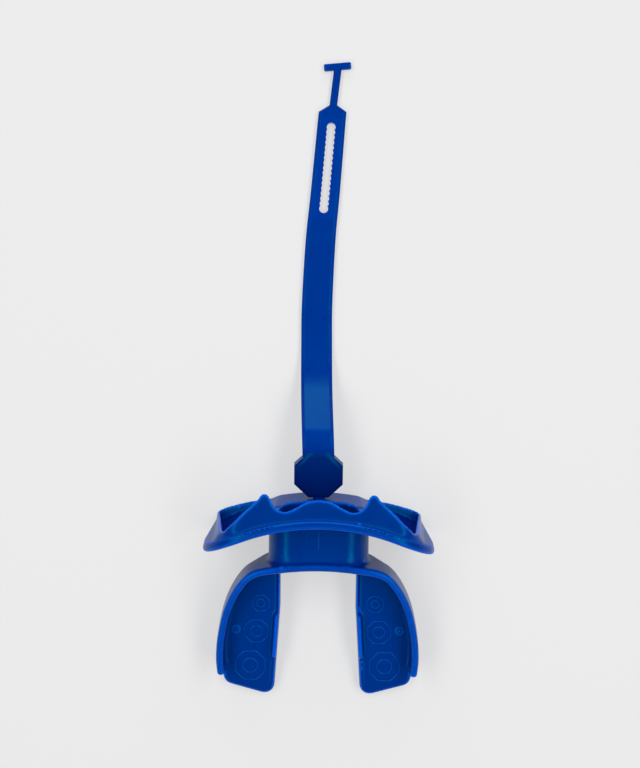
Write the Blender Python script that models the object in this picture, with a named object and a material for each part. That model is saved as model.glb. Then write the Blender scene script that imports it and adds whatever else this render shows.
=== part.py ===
"""Mouthguard with a lip guard, an airway and a tether strap, moulded in one piece of soft rubber.

Metres, +Z up, +Y forward from the face towards the end of the strap.
The guard (tooth tray, neck and lip guard) is drawn in its own upright frame, whose origin is the middle
of the lip guard's back face and whose XY plane is the bite plane. It is then pitched to the angle at
which it rests on a table, on the lip guard's lower edge and the rear ends of the tooth pads.
The origin of the finished part is the bottom centre of its bounding box.
"""

import math

import bmesh
import bpy
from mathutils import Matrix, Vector

MM = 0.001

# Tooth tray
ARCH_HALF_WIDTH = 31.25 * MM
ARCH_DEPTH = 36.9 * MM
ARCH_SHAPE = ((0.0, 0.0), (0.34, 0.018), (0.64, 0.068), (0.80, 0.197),
              (0.92, 0.41), (0.985, 0.66), (1.0, 0.86), (0.985, 1.0))
WALL_THICKNESS = 2.3 * MM
WALL_EDGE_RADIUS = 0.5 * MM
WALL_HEIGHT_FRONT = 9.5 * MM
WALL_HEIGHT_SIDE = 7.6 * MM
WALL_SKIRT = 8.6 * MM
SKIRT_HALF_WIDTH = 14.0 * MM
SKIRT_RUN_OUT = 7.0 * MM
PAD_THICKNESS = 2.8 * MM
PAD_SEAT = 0.8 * MM
PAD_INNER_FRONT = 11.6 * MM
PAD_INNER_REAR = 13.5 * MM
PAD_INNER_STRAIGHT = 16.5 * MM
PAD_REACH = 9.6 * MM
PAD_REAR_SLANT = math.radians(16.0)
PAD_CORNER_RADIUS = 3.2 * MM
PAD_EDGE_RADIUS = 0.7 * MM
RIDGE_WIDTH = 0.8 * MM
RIDGE_HEIGHT = 0.9 * MM
TAB_WIDTH = 1.6 * MM
TAB_HEIGHT = 2.6 * MM
TAB_START = 18.9 * MM
TAB_LENGTH = 14.1 * MM

# Octagon grip rings raised on each pad: distance behind the front wall, distance from the middle, radius
GRIP_RINGS = ((15.6 * MM, 17.7 * MM, 2.75 * MM), (24.8 * MM, 19.0 * MM, 3.80 * MM),
              (36.1 * MM, 20.9 * MM, 4.80 * MM))
RING_INNER_SHARE = 0.5
RING_LINE = 0.45 * MM
RING_HEIGHT = 0.3 * MM

# Neck with the airway
NECK_LENGTH = 12.9 * MM
NECK_WIDTH = 30.7 * MM
NECK_HEIGHT = 14.0 * MM
NECK_FLARE = 2.1 * MM
NECK_FLARE_LENGTH = 4.2 * MM
DUCT_WIDTH = 25.0 * MM
DUCT_REAR_WIDTH = 22.6 * MM
DUCT_HEIGHT = 9.8 * MM
DUCT_MOUTH_ROUND = 0.9 * MM
DUCT_CUT_REACH = 6.0 * MM

# Lip guard plate
PLATE_RADIUS = 64.0 * MM
PLATE_THICKNESS = 2.6 * MM
PLATE_TOP = 15.2 * MM
PLATE_BOTTOM = 14.8 * MM
PLATE_HALF_TOP = 37.9 * MM
PLATE_HALF_BOTTOM = 32.5 * MM
PLATE_TOP_CORNER = 13.0 * MM
PLATE_BOTTOM_CORNER = 1.6 * MM
RIM_STEP = 0.35 * MM
RIM_ROUND = 0.6 * MM
PLATE_FIELD = 0.82
POCKET_DEPTH = 1.3 * MM
POCKET_SIDE_TOP = 13.5 * MM
POCKET_SIDE_BOTTOM = 15.8 * MM
POCKET_SLOPE = 1.2 * MM
POCKET_CUT_REACH = 3.1 * MM
CHIN_RISE = 0.9 * MM
CHIN_HALF_TOP = 13.6 * MM
CHIN_HALF_BOTTOM = 12.3 * MM

# Wavy visor, the side walls that carry on from it and the ledge along the lower edge
VISOR_INSET = 2.4 * MM
VISOR_HALF_WIDTH = 29.2 * MM
VISOR_CORNER = 5.0 * MM
VISOR_EDGE = 0.8 * MM
VISOR_ROOT = 2.0 * MM
VISOR_ROOT_FILLET = 0.5 * MM
SIDE_WALL_RISE = 1.8 * MM
SIDE_WALL_SLOPE = 2.4 * MM
FOOT_RISE = 2.5 * MM
LEDGE_END = 14.0 * MM
# The visor's edge in mm: distance from the middle, distance in front of the plate's back
VISOR_WAVE = ((0.0, 8.75), (3.6, 7.9), (6.6, 5.9), (9.6, 4.95), (12.4, 5.95), (14.3, 7.6), (15.1, 9.4),
              (15.9, 10.5), (16.6, 10.75), (17.4, 10.3), (18.1, 9.2), (21.0, 5.95), (23.5, 3.3),
              (28.2, -1.95))

# Soft rubber dyed blue, linear
RUBBER_COLOUR = (0.003, 0.028, 0.235)
RUBBER_ROUGHNESS = 0.38

# Tether strap
STRAP_WIDTH = 9.8 * MM
STRAP_END_WIDTH = 8.7 * MM
STRAP_THICKNESS = 2.0 * MM
STRAP_BEVEL = 0.35 * MM
STRAP_CHAMFER = 1.0 * MM
STRAP_CHAMFER_DROP = 0.4 * MM
STRAP_LENGTH = 127.6 * MM
STRAP_RISE = math.radians(21.0)
STRAP_FALL = math.radians(36.5)
STRAP_CREST_RADIUS = 7.0 * MM
STRAP_FOOT_RADIUS = 12.0 * MM
# How the strap lies on the table in mm: distance forward, distance to the right
STRAP_SWAY = ((12.0, -0.3), (19.3, -0.45), (36.7, -1.15), (52.4, -1.4), (65.9, -1.4), (85.4, -0.55),
              (99.3, 0.65), (113.3, 1.75), (125.8, 2.75), (138.2, 4.1))
SHOULDER_LENGTH = 2.1 * MM
STEM_WIDTH = 3.7 * MM
STEM_LENGTH = 4.0 * MM
CREST_RUN = 4.3 * MM
OCTAGON_FLATS = 14.8 * MM
OCTAGON_THICKNESS = 3.4 * MM
OCTAGON_BEVEL = 1.1 * MM
OCTAGON_BEVEL_DROP = 0.6 * MM
OCTAGON_HEIGHT = 12.2 * MM
OCTAGON_FORWARD = 12.2 * MM
SLOT_HOLES = 17
SLOT_PITCH = 1.6 * MM
SLOT_WIDTH = 2.8 * MM
SLOT_FROM_END = 17.6 * MM
TAIL_WIDTH = 2.4 * MM
TAIL_LENGTH = 11.0 * MM
BAR_LENGTH = 8.6 * MM
BAR_WIDTH = 2.2 * MM
BAR_CORNER = 0.5 * MM
BAR_TURN = math.radians(5.5)

# How far one solid reaches into the next where they are joined
SINK = 0.35 * MM
# Points closer than this are one point
WELD = 0.002 * MM
# Neighbouring facets within this angle are one flat
FLAT_ANGLE = math.radians(0.2)
# Edges sharper than this are shaded as edges
SHARP_ANGLE = math.radians(32.0)
# Facets
ARCH_STEPS = 26
CURVE_STEPS = 8
NECK_STEPS = 14
CHIN_STEPS = 10
ROUND_STEPS = 5
OUTLINE_GAP = 2.7 * MM
VISOR_GAP = 0.8 * MM
STRAP_GAP = 6.0 * MM


def clear_scene():
    for thing in list(bpy.data.objects):
        bpy.data.objects.remove(thing, do_unlink=True)


def make_material(name, colour, roughness):
    """A Principled BSDF for the dyed soft rubber."""
    material = bpy.data.materials.new(name)
    material.use_nodes = True
    shader = material.node_tree.nodes["Principled BSDF"]
    shader.inputs["Base Color"].default_value = (*colour, 1.0)
    shader.inputs["Roughness"].default_value = roughness
    shader.inputs["Metallic"].default_value = 0.0
    return material


def smooth_curve(points, steps):
    """A Catmull-Rom curve through the points, with the given steps between each pair."""
    ends = [points[0] * 2.0 - points[1]] + list(points) + [points[-1] * 2.0 - points[-2]]
    curve = []
    for i in range(1, len(ends) - 2):
        a, b, c, d = ends[i - 1:i + 3]
        for k in range(steps):
            t = k / steps
            curve.append(0.5 * ((2.0 * b) + (c - a) * t + (2.0 * a - 5.0 * b + 4.0 * c - d) * t * t
                                + (3.0 * b - a - 3.0 * c + d) * t * t * t))
    curve.append(points[-1].copy())
    return curve


def read_curve(curve, x):
    """The second coordinate of a curve, read at the first."""
    if x <= curve[0].x:
        return curve[0].y
    for a, b in zip(curve, curve[1:]):
        if x <= b.x:
            share = (x - a.x) / max(b.x - a.x, 1e-9)
            return a.y + (b.y - a.y) * share
    return curve[-1].y


def soft_step(value, start, end):
    share = min(max((value - start) / (end - start), 0.0), 1.0)
    return share * share * (3.0 - 2.0 * share)


def round_corner(before, corner, after, radius, steps):
    """The arc that rounds one corner of an outline."""
    back = (before - corner).normalized()
    ahead = (after - corner).normalized()
    half = back.angle(ahead) / 2.0
    reach = min(radius / math.tan(half), (before - corner).length * 0.49, (after - corner).length * 0.49)
    size = reach * math.tan(half)
    centre = corner + (back + ahead).normalized() * (size / math.sin(half))
    first = corner + back * reach - centre
    last = corner + ahead * reach - centre
    sweep = first.angle_signed(last)
    arc = []
    for k in range(steps + 1):
        turn = Matrix.Rotation(-sweep * k / steps, 2)
        arc.append(centre + turn @ first)
    return arc


def rounded_outline(corners, steps, closed=True):
    """Corners given as (point, radius), with each rounded corner as an arc."""
    points = []
    last = len(corners) - 1
    for i, (corner, radius) in enumerate(corners):
        at_end = not closed and i in (0, last)
        if radius <= 0.0 or at_end:
            points.append(corner.copy())
        else:
            before = corners[i - 1][0]
            after = corners[(i + 1) % len(corners)][0]
            points.extend(round_corner(before, corner, after, radius, steps))
    return points


def outline_normals(points, closed=True):
    """Unit normals to the right of the direction of travel."""
    normals = []
    count = len(points)
    for i in range(count):
        before = points[i - 1] if closed or i else points[0]
        after = points[(i + 1) % count] if closed or i < count - 1 else points[-1]
        along = (after - before).normalized()
        normals.append(Vector((along.y, -along.x)))
    return normals


def spread(points, gap):
    """The same open line with points about a gap apart, its ends kept."""
    lengths = [0.0]
    for a, b in zip(points, points[1:]):
        lengths.append(lengths[-1] + (b - a).length)
    count = max(2, round(lengths[-1] / gap))
    line = []
    k = 0
    for i in range(count + 1):
        want = lengths[-1] * i / count
        while k < len(points) - 2 and lengths[k + 1] < want:
            k += 1
        share = (want - lengths[k]) / max(lengths[k + 1] - lengths[k], 1e-12)
        line.append(points[k].lerp(points[k + 1], share))
    return line


def new_object(name, mesh_data):
    mesh_data.normal_update()
    bmesh.ops.recalc_face_normals(mesh_data, faces=mesh_data.faces)
    mesh = bpy.data.meshes.new(name)
    mesh_data.to_mesh(mesh)
    mesh_data.free()
    thing = bpy.data.objects.new(name, mesh)
    bpy.context.scene.collection.objects.link(thing)
    return thing


def loft(name, rings):
    """A closed solid through rings of points, with a flat cap on the first and the last."""
    form = bmesh.new()
    rows = [[form.verts.new(point) for point in ring] for ring in rings]
    for a, b in zip(rows, rows[1:]):
        for i in range(len(a)):
            j = (i + 1) % len(a)
            form.faces.new((a[i], a[j], b[j], b[i]))
    form.faces.new(list(reversed(rows[0])))
    form.faces.new(rows[-1])
    return new_object(name, form)


def clean(solid):
    """Merge points that a join leaves on top of each other, and split every face into triangles."""
    form = bmesh.new()
    form.from_mesh(solid.data)
    bmesh.ops.triangulate(form, faces=form.faces)
    bmesh.ops.remove_doubles(form, verts=form.verts, dist=WELD)
    bmesh.ops.dissolve_degenerate(form, edges=form.edges, dist=WELD)
    close_hairlines(form)
    bmesh.ops.triangulate(form, faces=form.faces)
    form.to_mesh(solid.data)
    form.free()


def close_hairlines(form):
    """Where a join leaves a point on an open edge, split the edge there, so that both sides share the point."""
    shared = []
    for edge in [e for e in form.edges if e.is_boundary]:
        start = edge.verts[0]
        run = edge.other_vert(start).co - start.co
        for point in [e.other_vert(start) for e in start.link_edges if e.is_boundary and e is not edge]:
            share = (point.co - start.co).dot(run) / run.length_squared
            if 0.0 < share < 1.0 and (start.co + run * share - point.co).length < WELD:
                shared.extend((point, bmesh.utils.edge_split(edge, start, share)[1]))
                break
    bmesh.ops.remove_doubles(form, verts=list(set(shared)), dist=WELD)


def merge_flat_facets(solid):
    """Redraw the flat areas, which the joins have split, with as few triangles as they need."""
    form = bmesh.new()
    form.from_mesh(solid.data)
    bmesh.ops.dissolve_limit(form, angle_limit=FLAT_ANGLE, verts=form.verts, edges=form.edges)
    bmesh.ops.triangulate(form, faces=form.faces)
    form.to_mesh(solid.data)
    form.free()


def combine(base, tool, operation):
    """Join or cut one solid with another, and drop the tool."""
    modifier = base.modifiers.new(operation.lower(), "BOOLEAN")
    modifier.operation = operation
    modifier.solver = "EXACT"
    modifier.object = tool
    bpy.context.view_layer.update()
    shaped = base.evaluated_get(bpy.context.evaluated_depsgraph_get())
    mesh = bpy.data.meshes.new_from_object(shaped)
    base.modifiers.clear()
    base.data = mesh
    clean(base)
    bpy.data.objects.remove(tool, do_unlink=True)


def union(name, solids):
    """One solid from several that reach into each other."""
    base = solids[0]
    base.name = name
    for tool in solids[1:]:
        combine(base, tool, "UNION")
    return base


def mirrored(points):
    """A half line that starts on the middle plane, with its mirror image before it."""
    return [Vector((-p.x, p.y)) for p in reversed(points[1:])] + list(points)


def wall_front():
    """Y of the tray wall's outer face in the middle."""
    return -NECK_LENGTH


def arch_half():
    """The right half of the tray wall's outer face, seen from above, from the middle to the rear."""
    points = [Vector((x * ARCH_HALF_WIDTH, wall_front() - y * ARCH_DEPTH)) for x, y in ARCH_SHAPE]
    mirror = Vector((-points[1].x, points[1].y))
    curve = smooth_curve([mirror] + points, CURVE_STEPS)
    return spread(curve[CURVE_STEPS:], (ARCH_HALF_WIDTH + ARCH_DEPTH) / ARCH_STEPS)


def inset_line(points, distance, closed=False):
    """The line moved to its right by a distance."""
    normals = outline_normals(points, closed)
    return [p + n * distance for p, n in zip(points, normals)]


def arch_front_at(x):
    """Y of the wall's outer face at a distance from the middle."""
    return read_curve(arch_half(), abs(x))


def make_wall():
    """The outer wall of the tooth channel, with the skirt round the airway at the front."""
    line = mirrored(arch_half())
    normals = outline_normals(line, closed=False)
    rings = []
    for point, normal in zip(line, normals):
        side = soft_step(wall_front() - point.y, 0.0, ARCH_DEPTH * 0.6)
        top = WALL_HEIGHT_FRONT + (WALL_HEIGHT_SIDE - WALL_HEIGHT_FRONT) * side
        run = soft_step(abs(point.x), SKIRT_HALF_WIDTH, SKIRT_HALF_WIDTH + SKIRT_RUN_OUT)
        low = -WALL_SKIRT + (WALL_SKIRT - PAD_THICKNESS + SINK / 2.0) * run
        corners = ((Vector((0.0, low)), WALL_THICKNESS * 0.7), (Vector((WALL_THICKNESS, low)), 0.0),
                   (Vector((WALL_THICKNESS, top)), WALL_EDGE_RADIUS), (Vector((0.0, top)), WALL_EDGE_RADIUS))
        ring = []
        for place in rounded_outline(corners, 3):
            spot = point + normal * place.x
            ring.append(Vector((spot.x, spot.y, place.y)))
        rings.append(ring)
    return loft("wall", rings)


def pad_inner_at(y):
    """Distance from the middle to a pad's inner edge."""
    behind = wall_front() - y - PAD_INNER_STRAIGHT
    share = max(behind, 0.0) / (ARCH_DEPTH + PAD_REACH - PAD_INNER_STRAIGHT)
    return PAD_INNER_FRONT + (PAD_INNER_REAR - PAD_INNER_FRONT) * share


def pad_outline():
    """The right pad seen from above, reaching a little way into the wall."""
    half = arch_half()
    edge = [p for p in inset_line(half, WALL_THICKNESS - PAD_SEAT) if p.x > PAD_INNER_FRONT + PAD_SEAT]
    rear = wall_front() - ARCH_DEPTH - PAD_REACH
    inner_rear = Vector((PAD_INNER_REAR, rear))
    outer = edge[-1].x
    outer_rear = Vector((outer, rear + (outer - PAD_INNER_REAR) * math.tan(PAD_REAR_SLANT)))
    front = Vector((PAD_INNER_FRONT, arch_front_at(PAD_INNER_FRONT) - WALL_THICKNESS / 2.0))
    bend = Vector((PAD_INNER_FRONT, wall_front() - PAD_INNER_STRAIGHT))
    corners = [(front, 0.0)]
    corners.extend((p, 0.0) for p in edge)
    corners.append((outer_rear, PAD_CORNER_RADIUS))
    corners.append((inner_rear, PAD_CORNER_RADIUS))
    corners.append((bend, 0.0))
    return rounded_outline(corners, ROUND_STEPS)


def rounded_slab(name, outline, low, high, edge):
    """An upright slab of the outline with eased upper and lower edges."""
    layers = ((edge, low), (edge * 0.3, low + edge * 0.3), (0.0, low + edge),
              (0.0, high - edge * 0.6), (edge * 0.5, high))
    rings = []
    for inset, height in layers:
        rings.append([Vector((p.x, p.y, height)) for p in inset_line(outline, inset, closed=True)])
    return loft(name, rings)


def make_ridge(name, start, length, width, height):
    """A low ridge along a pad's inner edge."""
    rings = []
    steps = 2 * ROUND_STEPS
    for k in range(steps + 1):
        y = start - length * k / steps
        foot = pad_inner_at(y)
        top = height * (0.75 if k in (0, steps) else 1.0)
        profile = ((SINK / 2.0, -SINK * 2.0), (SINK / 2.0, top * 0.8), (SINK, top), (width * 0.8, top),
                   (width, top * 0.8), (width, -SINK * 2.0))
        rings.append([Vector((foot + x, y, z)) for x, z in profile])
    return loft(name, rings)


def make_pad():
    """The right bite pad with its inner ridge and raised tab."""
    pad = rounded_slab("pad", pad_outline(), -PAD_THICKNESS, 0.0, PAD_EDGE_RADIUS)
    front = wall_front() - WALL_THICKNESS * 0.8
    rear_stop = ARCH_DEPTH + PAD_REACH - PAD_CORNER_RADIUS - WALL_THICKNESS * 0.8
    ridge = make_ridge("ridge", front, rear_stop, RIDGE_WIDTH, RIDGE_HEIGHT)
    tab = make_ridge("tab", wall_front() - TAB_START, TAB_LENGTH, TAB_WIDTH, TAB_HEIGHT)
    return union("pad", [pad, ridge, tab])


def mirror_solid(solid, name):
    """A copy of a solid, mirrored to the other side."""
    form = bmesh.new()
    form.from_mesh(solid.data)
    bmesh.ops.transform(form, matrix=Matrix.Scale(-1.0, 4, Vector((1.0, 0.0, 0.0))), verts=form.verts)
    bmesh.ops.reverse_faces(form, faces=form.faces)
    return new_object(name, form)


def stadium(width, height, grow=0.0, grow_side=0.0, steps=8):
    """A flat oval of round ends about the origin, as (x, z) points."""
    radius = height / 2.0
    flat = width / 2.0 - radius
    points = []
    for side in (1, -1):
        for k in range(steps + 1):
            angle = side * math.pi / 2.0 - math.pi * k / steps
            x = side * flat + (radius + grow_side) * math.cos(angle)
            z = (radius + grow) * math.sin(angle)
            points.append((x, z))
    return points


def plate_back(x):
    """Y of the lip guard's back face, curved round the face."""
    return math.sqrt(max(PLATE_RADIUS ** 2 - x ** 2, 0.0)) - PLATE_RADIUS


def plate_front(x):
    """Y of the lip guard's front face."""
    return plate_back(x) + PLATE_THICKNESS * PLATE_RADIUS / math.sqrt(PLATE_RADIUS ** 2 - x ** 2)


def make_neck():
    """The oval neck between the lip guard and the tray, flared at both ends."""
    rings = []
    reach = NECK_LENGTH + PLATE_THICKNESS / 2.0 + WALL_THICKNESS / 2.0
    for k in range(NECK_STEPS + 1):
        share = k / NECK_STEPS
        from_plate = max(reach * share - PLATE_THICKNESS / 2.0, 0.0)
        from_wall = max(reach * (1.0 - share) - WALL_THICKNESS / 2.0, 0.0)
        near = max(1.0 - from_wall / NECK_FLARE_LENGTH, 0.0)
        flare = NECK_FLARE * (1.0 - math.sqrt(max(1.0 - near * near, 0.0)))
        near = max(1.0 - from_plate / (NECK_FLARE_LENGTH / 2.0), 0.0)
        flare += NECK_FLARE / 2.0 * (1.0 - math.sqrt(max(1.0 - near * near, 0.0)))
        ring = []
        for x, z in stadium(NECK_WIDTH, NECK_HEIGHT, flare, flare / 4.0):
            start = plate_back(x) + PLATE_THICKNESS / 2.0
            end = arch_front_at(x) - WALL_THICKNESS / 2.0
            ring.append(Vector((x, start + (end - start) * share, z)))
        rings.append(ring)
    return loft("neck", rings)


def make_duct():
    """The airway, cut from the mouth in the lip guard to the inside of the tray."""
    front = PLATE_THICKNESS + CHIN_RISE
    taper = (DUCT_REAR_WIDTH - DUCT_WIDTH) / 2.0
    stations = ((front + DUCT_CUT_REACH, DUCT_MOUTH_ROUND * 1.5, DUCT_MOUTH_ROUND * 1.5),
                (front, DUCT_MOUTH_ROUND, DUCT_MOUTH_ROUND),
                (front - DUCT_MOUTH_ROUND * 0.4, DUCT_MOUTH_ROUND * 0.35, DUCT_MOUTH_ROUND * 0.35),
                (front - DUCT_MOUTH_ROUND * 1.3, 0.0, 0.0),
                (wall_front() - WALL_THICKNESS * 2.0, 0.0, taper))
    rings = []
    for y, grow, grow_side in stations:
        rings.append([Vector((x, y, z)) for x, z in stadium(DUCT_WIDTH, DUCT_HEIGHT, grow, grow_side)])
    return loft("duct", rings)


def plate_outline():
    """The lip guard's outline seen from the front, as (x, z), clockwise."""
    corners = ((Vector((-PLATE_HALF_TOP, PLATE_TOP)), PLATE_TOP_CORNER),
               (Vector((PLATE_HALF_TOP, PLATE_TOP)), PLATE_TOP_CORNER),
               (Vector((PLATE_HALF_BOTTOM, -PLATE_BOTTOM)), PLATE_BOTTOM_CORNER),
               (Vector((-PLATE_HALF_BOTTOM, -PLATE_BOTTOM)), PLATE_BOTTOM_CORNER))
    ring = rounded_outline(corners, ROUND_STEPS + 3)
    ring.append(ring[0].copy())
    return spread(ring, OUTLINE_GAP)[:-1]


def bent(x, share, z):
    """A point of the plate: a share of the way from its back face to its front face."""
    return Vector((x, plate_back(x) + (plate_front(x) - plate_back(x)) * share, z))


def make_plate():
    """The curved lip plate with a stepped, rounded rim."""
    outline = plate_outline()
    profile = ((RIM_ROUND, 0.0), (RIM_ROUND * 0.3, 0.09), (0.0, 0.3), (0.0, 0.5), (RIM_STEP, 0.58),
               (RIM_STEP, 0.84), (RIM_STEP + RIM_ROUND * 0.5, 1.0))
    lines = [(inset_line(outline, inset, closed=True), share) for inset, share in profile]
    middle = [p * PLATE_FIELD for p in outline]
    return bent_solid("plate", [(middle, 0.0)] + lines + [(middle, 1.0)])


def bent_solid(name, lines):
    """A solid that follows the curve of the plate: outlines given with their shares of its thickness."""
    form = bmesh.new()
    rows = []
    for line, share in lines:
        rows.append([form.verts.new(bent(p.x, share, p.y)) for p in line])
    for a, b in zip(rows, rows[1:]):
        for i in range(len(a)):
            j = (i + 1) % len(a)
            form.faces.new((a[i], a[j], b[j], b[i]))
    for row in (rows[0], rows[-1]):
        close_middle(form, row)
    return new_object(name, form)


def close_middle(form, row):
    """Close the middle of a face with upright strips between its upper and lower halves."""
    count = len(row)
    half = sorted(range(count), key=lambda i: row[i].co.x)
    left, right = half[0], half[-1]
    one = [row[(left + k) % count] for k in range((right - left) % count + 1)]
    two = [row[(left - k) % count] for k in range((left - right) % count + 1)]
    i = j = 0
    while i < len(one) - 1 or j < len(two) - 1:
        step_one = j == len(two) - 1 or (i < len(one) - 1 and one[i + 1].co.x <= two[j + 1].co.x)
        corner = one[i + 1] if step_one else two[j + 1]
        trio = {one[i], two[j], corner}
        if len(trio) == 3:
            form.faces.new((one[i], two[j], corner))
        if step_one:
            i += 1
        else:
            j += 1


def pocket_side(z):
    """Distance from the middle to the pockets' slanted inner sides."""
    share = (PLATE_TOP - z) / (PLATE_TOP + PLATE_BOTTOM)
    return POCKET_SIDE_TOP + (POCKET_SIDE_BOTTOM - POCKET_SIDE_TOP) * share


def make_pocket():
    """Cutter for the recess in the right half of the plate's front, which ends under the visor's path."""
    path = visor_line()
    high, low = path[0].y, path[-1].y
    path = [p for p in path if p.x > pocket_side(p.y) + POCKET_SLOPE + SINK]
    lines = []
    for inset, front in ((POCKET_SLOPE, -POCKET_DEPTH), (0.0, 0.0), (0.0, POCKET_CUT_REACH)):
        first = Vector((pocket_side(high) + inset, high))
        last = Vector((pocket_side(low) + inset, low))
        lines.append(([first] + path + [last], 1.0 + front / PLATE_THICKNESS))
    return bent_solid("pocket", lines)


def make_chin():
    """The raised face below the airway's mouth, with sloping sides, from which the strap leaves."""
    bottom = -PLATE_BOTTOM + RIM_STEP + RIM_ROUND * 0.4
    top = -DUCT_HEIGHT * 0.35
    rings = []
    for z, rise in ((bottom, CHIN_RISE * 0.4), (bottom + RIM_ROUND, CHIN_RISE), (top, CHIN_RISE * 0.4)):
        share = (z - bottom) / (top - bottom)
        half = CHIN_HALF_BOTTOM + (CHIN_HALF_TOP - CHIN_HALF_BOTTOM) * share
        side = pocket_side(z) + SINK
        across = [half * (2.0 * k / CHIN_STEPS - 1.0) for k in range(CHIN_STEPS + 1)]
        front = [Vector((x, plate_front(x) + rise, z)) for x in across]
        edge = plate_front(side) - SINK / 3.0
        front = [Vector((-side, edge, z))] + front + [Vector((side, edge, z))]
        back = [Vector((p.x, plate_back(p.x) + PLATE_THICKNESS / 2.0, z)) for p in reversed(front)]
        rings.append(front + back)
    return loft("chin", rings)


def visor_line():
    """The path of the visor, side wall and lower ledge on the plate, right half, as (x, z)."""
    top = PLATE_TOP - VISOR_INSET
    inset = RIM_STEP + VISOR_EDGE * 0.75
    foot = Vector((PLATE_HALF_BOTTOM - inset, -PLATE_BOTTOM + inset))
    end = Vector((LEDGE_END, foot.y))
    corners = ((Vector((0.0, top)), 0.0), (Vector((VISOR_HALF_WIDTH, top)), VISOR_CORNER),
               (foot, PLATE_BOTTOM_CORNER), (end, 0.0))
    return spread(rounded_outline(corners, ROUND_STEPS, closed=False), VISOR_GAP)


def visor_crest(wave, point, foot):
    """How far forward the crest stands at a point of the visor's path."""
    face = plate_front(point.x)
    top = PLATE_TOP - VISOR_INSET
    across = abs(point.x)
    if point.y > top - VISOR_CORNER / 2.0 and across < wave[-1].x:
        return max(face + SIDE_WALL_RISE, read_curve(wave, across))
    if point.y > foot:
        down = min(max((top - point.y) / (top - foot), 0.0), 1.0)
        return face + SIDE_WALL_RISE + (FOOT_RISE - SIDE_WALL_RISE) * down
    run = (across - LEDGE_END) / (PLATE_HALF_BOTTOM - LEDGE_END)
    return face + FOOT_RISE * min(max(run, 0.04), 1.0)


def make_visor():
    """The wavy visor over the lips, carried on as walls down both sides and a ledge along the bottom."""
    outline = plate_outline()
    wave = smooth_curve([Vector((x * MM, y * MM)) for x, y in VISOR_WAVE], CURVE_STEPS)
    line = mirrored(visor_line())
    foot = line[-1].y + PLATE_BOTTOM_CORNER
    half = VISOR_EDGE / 2.0
    rings = []
    for point, normal in zip(line, outline_normals(line, closed=False)):
        face = plate_front(point.x)
        crest = visor_crest(wave, point, foot)
        rise = crest - face
        height = (point.y + PLATE_BOTTOM) / (PLATE_TOP + PLATE_BOTTOM)
        side = soft_step(abs(point.x), VISOR_HALF_WIDTH * 0.7, VISOR_HALF_WIDTH) * height
        room = min((point - p).length for p in outline) - RIM_STEP - RIM_ROUND * 0.5 - half
        fillet = max(min(VISOR_ROOT_FILLET + side * SIDE_WALL_SLOPE, room), RIM_STEP * 0.4)
        root = face - PLATE_THICKNESS * 0.7
        ease = min(half * 0.7, rise * 0.4)
        profile = ((half + fillet, root), (half + fillet, face - SINK / 3.0),
                   (half + fillet * 0.35, face + min(fillet, rise) * 0.35),
                   (half + min(VISOR_ROOT * 0.1, fillet * 0.3), face + min(fillet * 1.3, rise - ease * 1.3)),
                   (half, crest - ease), (half * 0.4, crest), (-half * 0.4, crest), (-half, crest - ease),
                   (-half - VISOR_ROOT * 0.2, face), (-half - VISOR_ROOT * 0.3, root))
        ring = []
        for offset, y in profile:
            spot = point - normal * offset
            shift = plate_front(spot.x) - face if y <= face else 0.0
            ring.append(Vector((spot.x, y + shift, spot.y)))
        rings.append(ring)
    return loft("visor", rings)


def make_guard():
    """Tray, neck and lip guard as one solid in the guard's own frame."""
    guard = union("guard", [make_wall(), make_neck(), make_plate(), make_chin()])
    pocket = make_pocket()
    for cutter in (mirror_solid(pocket, "pocket_left"), pocket, make_duct()):
        combine(guard, cutter, "DIFFERENCE")
    pad = make_pad()
    for form in (mirror_solid(pad, "pad_left"), pad, make_visor()):
        combine(guard, form, "UNION")
    for behind, across, radius in GRIP_RINGS:
        for side in (1, -1):
            for share in (1.0, RING_INNER_SHARE):
                ring = make_grip_ring(side * across, wall_front() - behind, radius * share)
                combine(guard, ring, "UNION")
    return guard


def make_grip_ring(x, y, radius):
    """One raised octagon line on a pad."""
    form = bmesh.new()
    loops = []
    for size, z in ((radius, -SINK), (radius, RING_HEIGHT), (radius - RING_LINE, RING_HEIGHT),
                    (radius - RING_LINE, -SINK)):
        corner = size / math.cos(math.pi / 8.0)
        loop = []
        for k in range(8):
            angle = math.pi / 8.0 + k * math.pi / 4.0
            place = (x + corner * math.cos(angle), y + corner * math.sin(angle), z)
            loop.append(form.verts.new(place))
        loops.append(loop)
    for a, b in zip(loops, loops[1:] + loops[:1]):
        for i in range(8):
            j = (i + 1) % 8
            form.faces.new((a[i], a[j], b[j], b[i]))
    return new_object("grip_ring", form)


def resting_pitch(guard):
    """The pitch at which the lip guard's lower edge and the pads' rear ends touch one plane."""
    points = [v.co.copy() for v in guard.data.vertices]
    middle = wall_front() - ARCH_DEPTH / 2.0
    low, high = 0.0, math.radians(40.0)
    for _ in range(40):
        pitch = (low + high) / 2.0
        turn = Matrix.Rotation(pitch, 3, "X")
        front = min((turn @ p).z for p in points if p.y > middle)
        rear = min((turn @ p).z for p in points if p.y <= middle)
        if front < rear:
            low = pitch
        else:
            high = pitch
    return pitch, min(front, rear)


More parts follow.
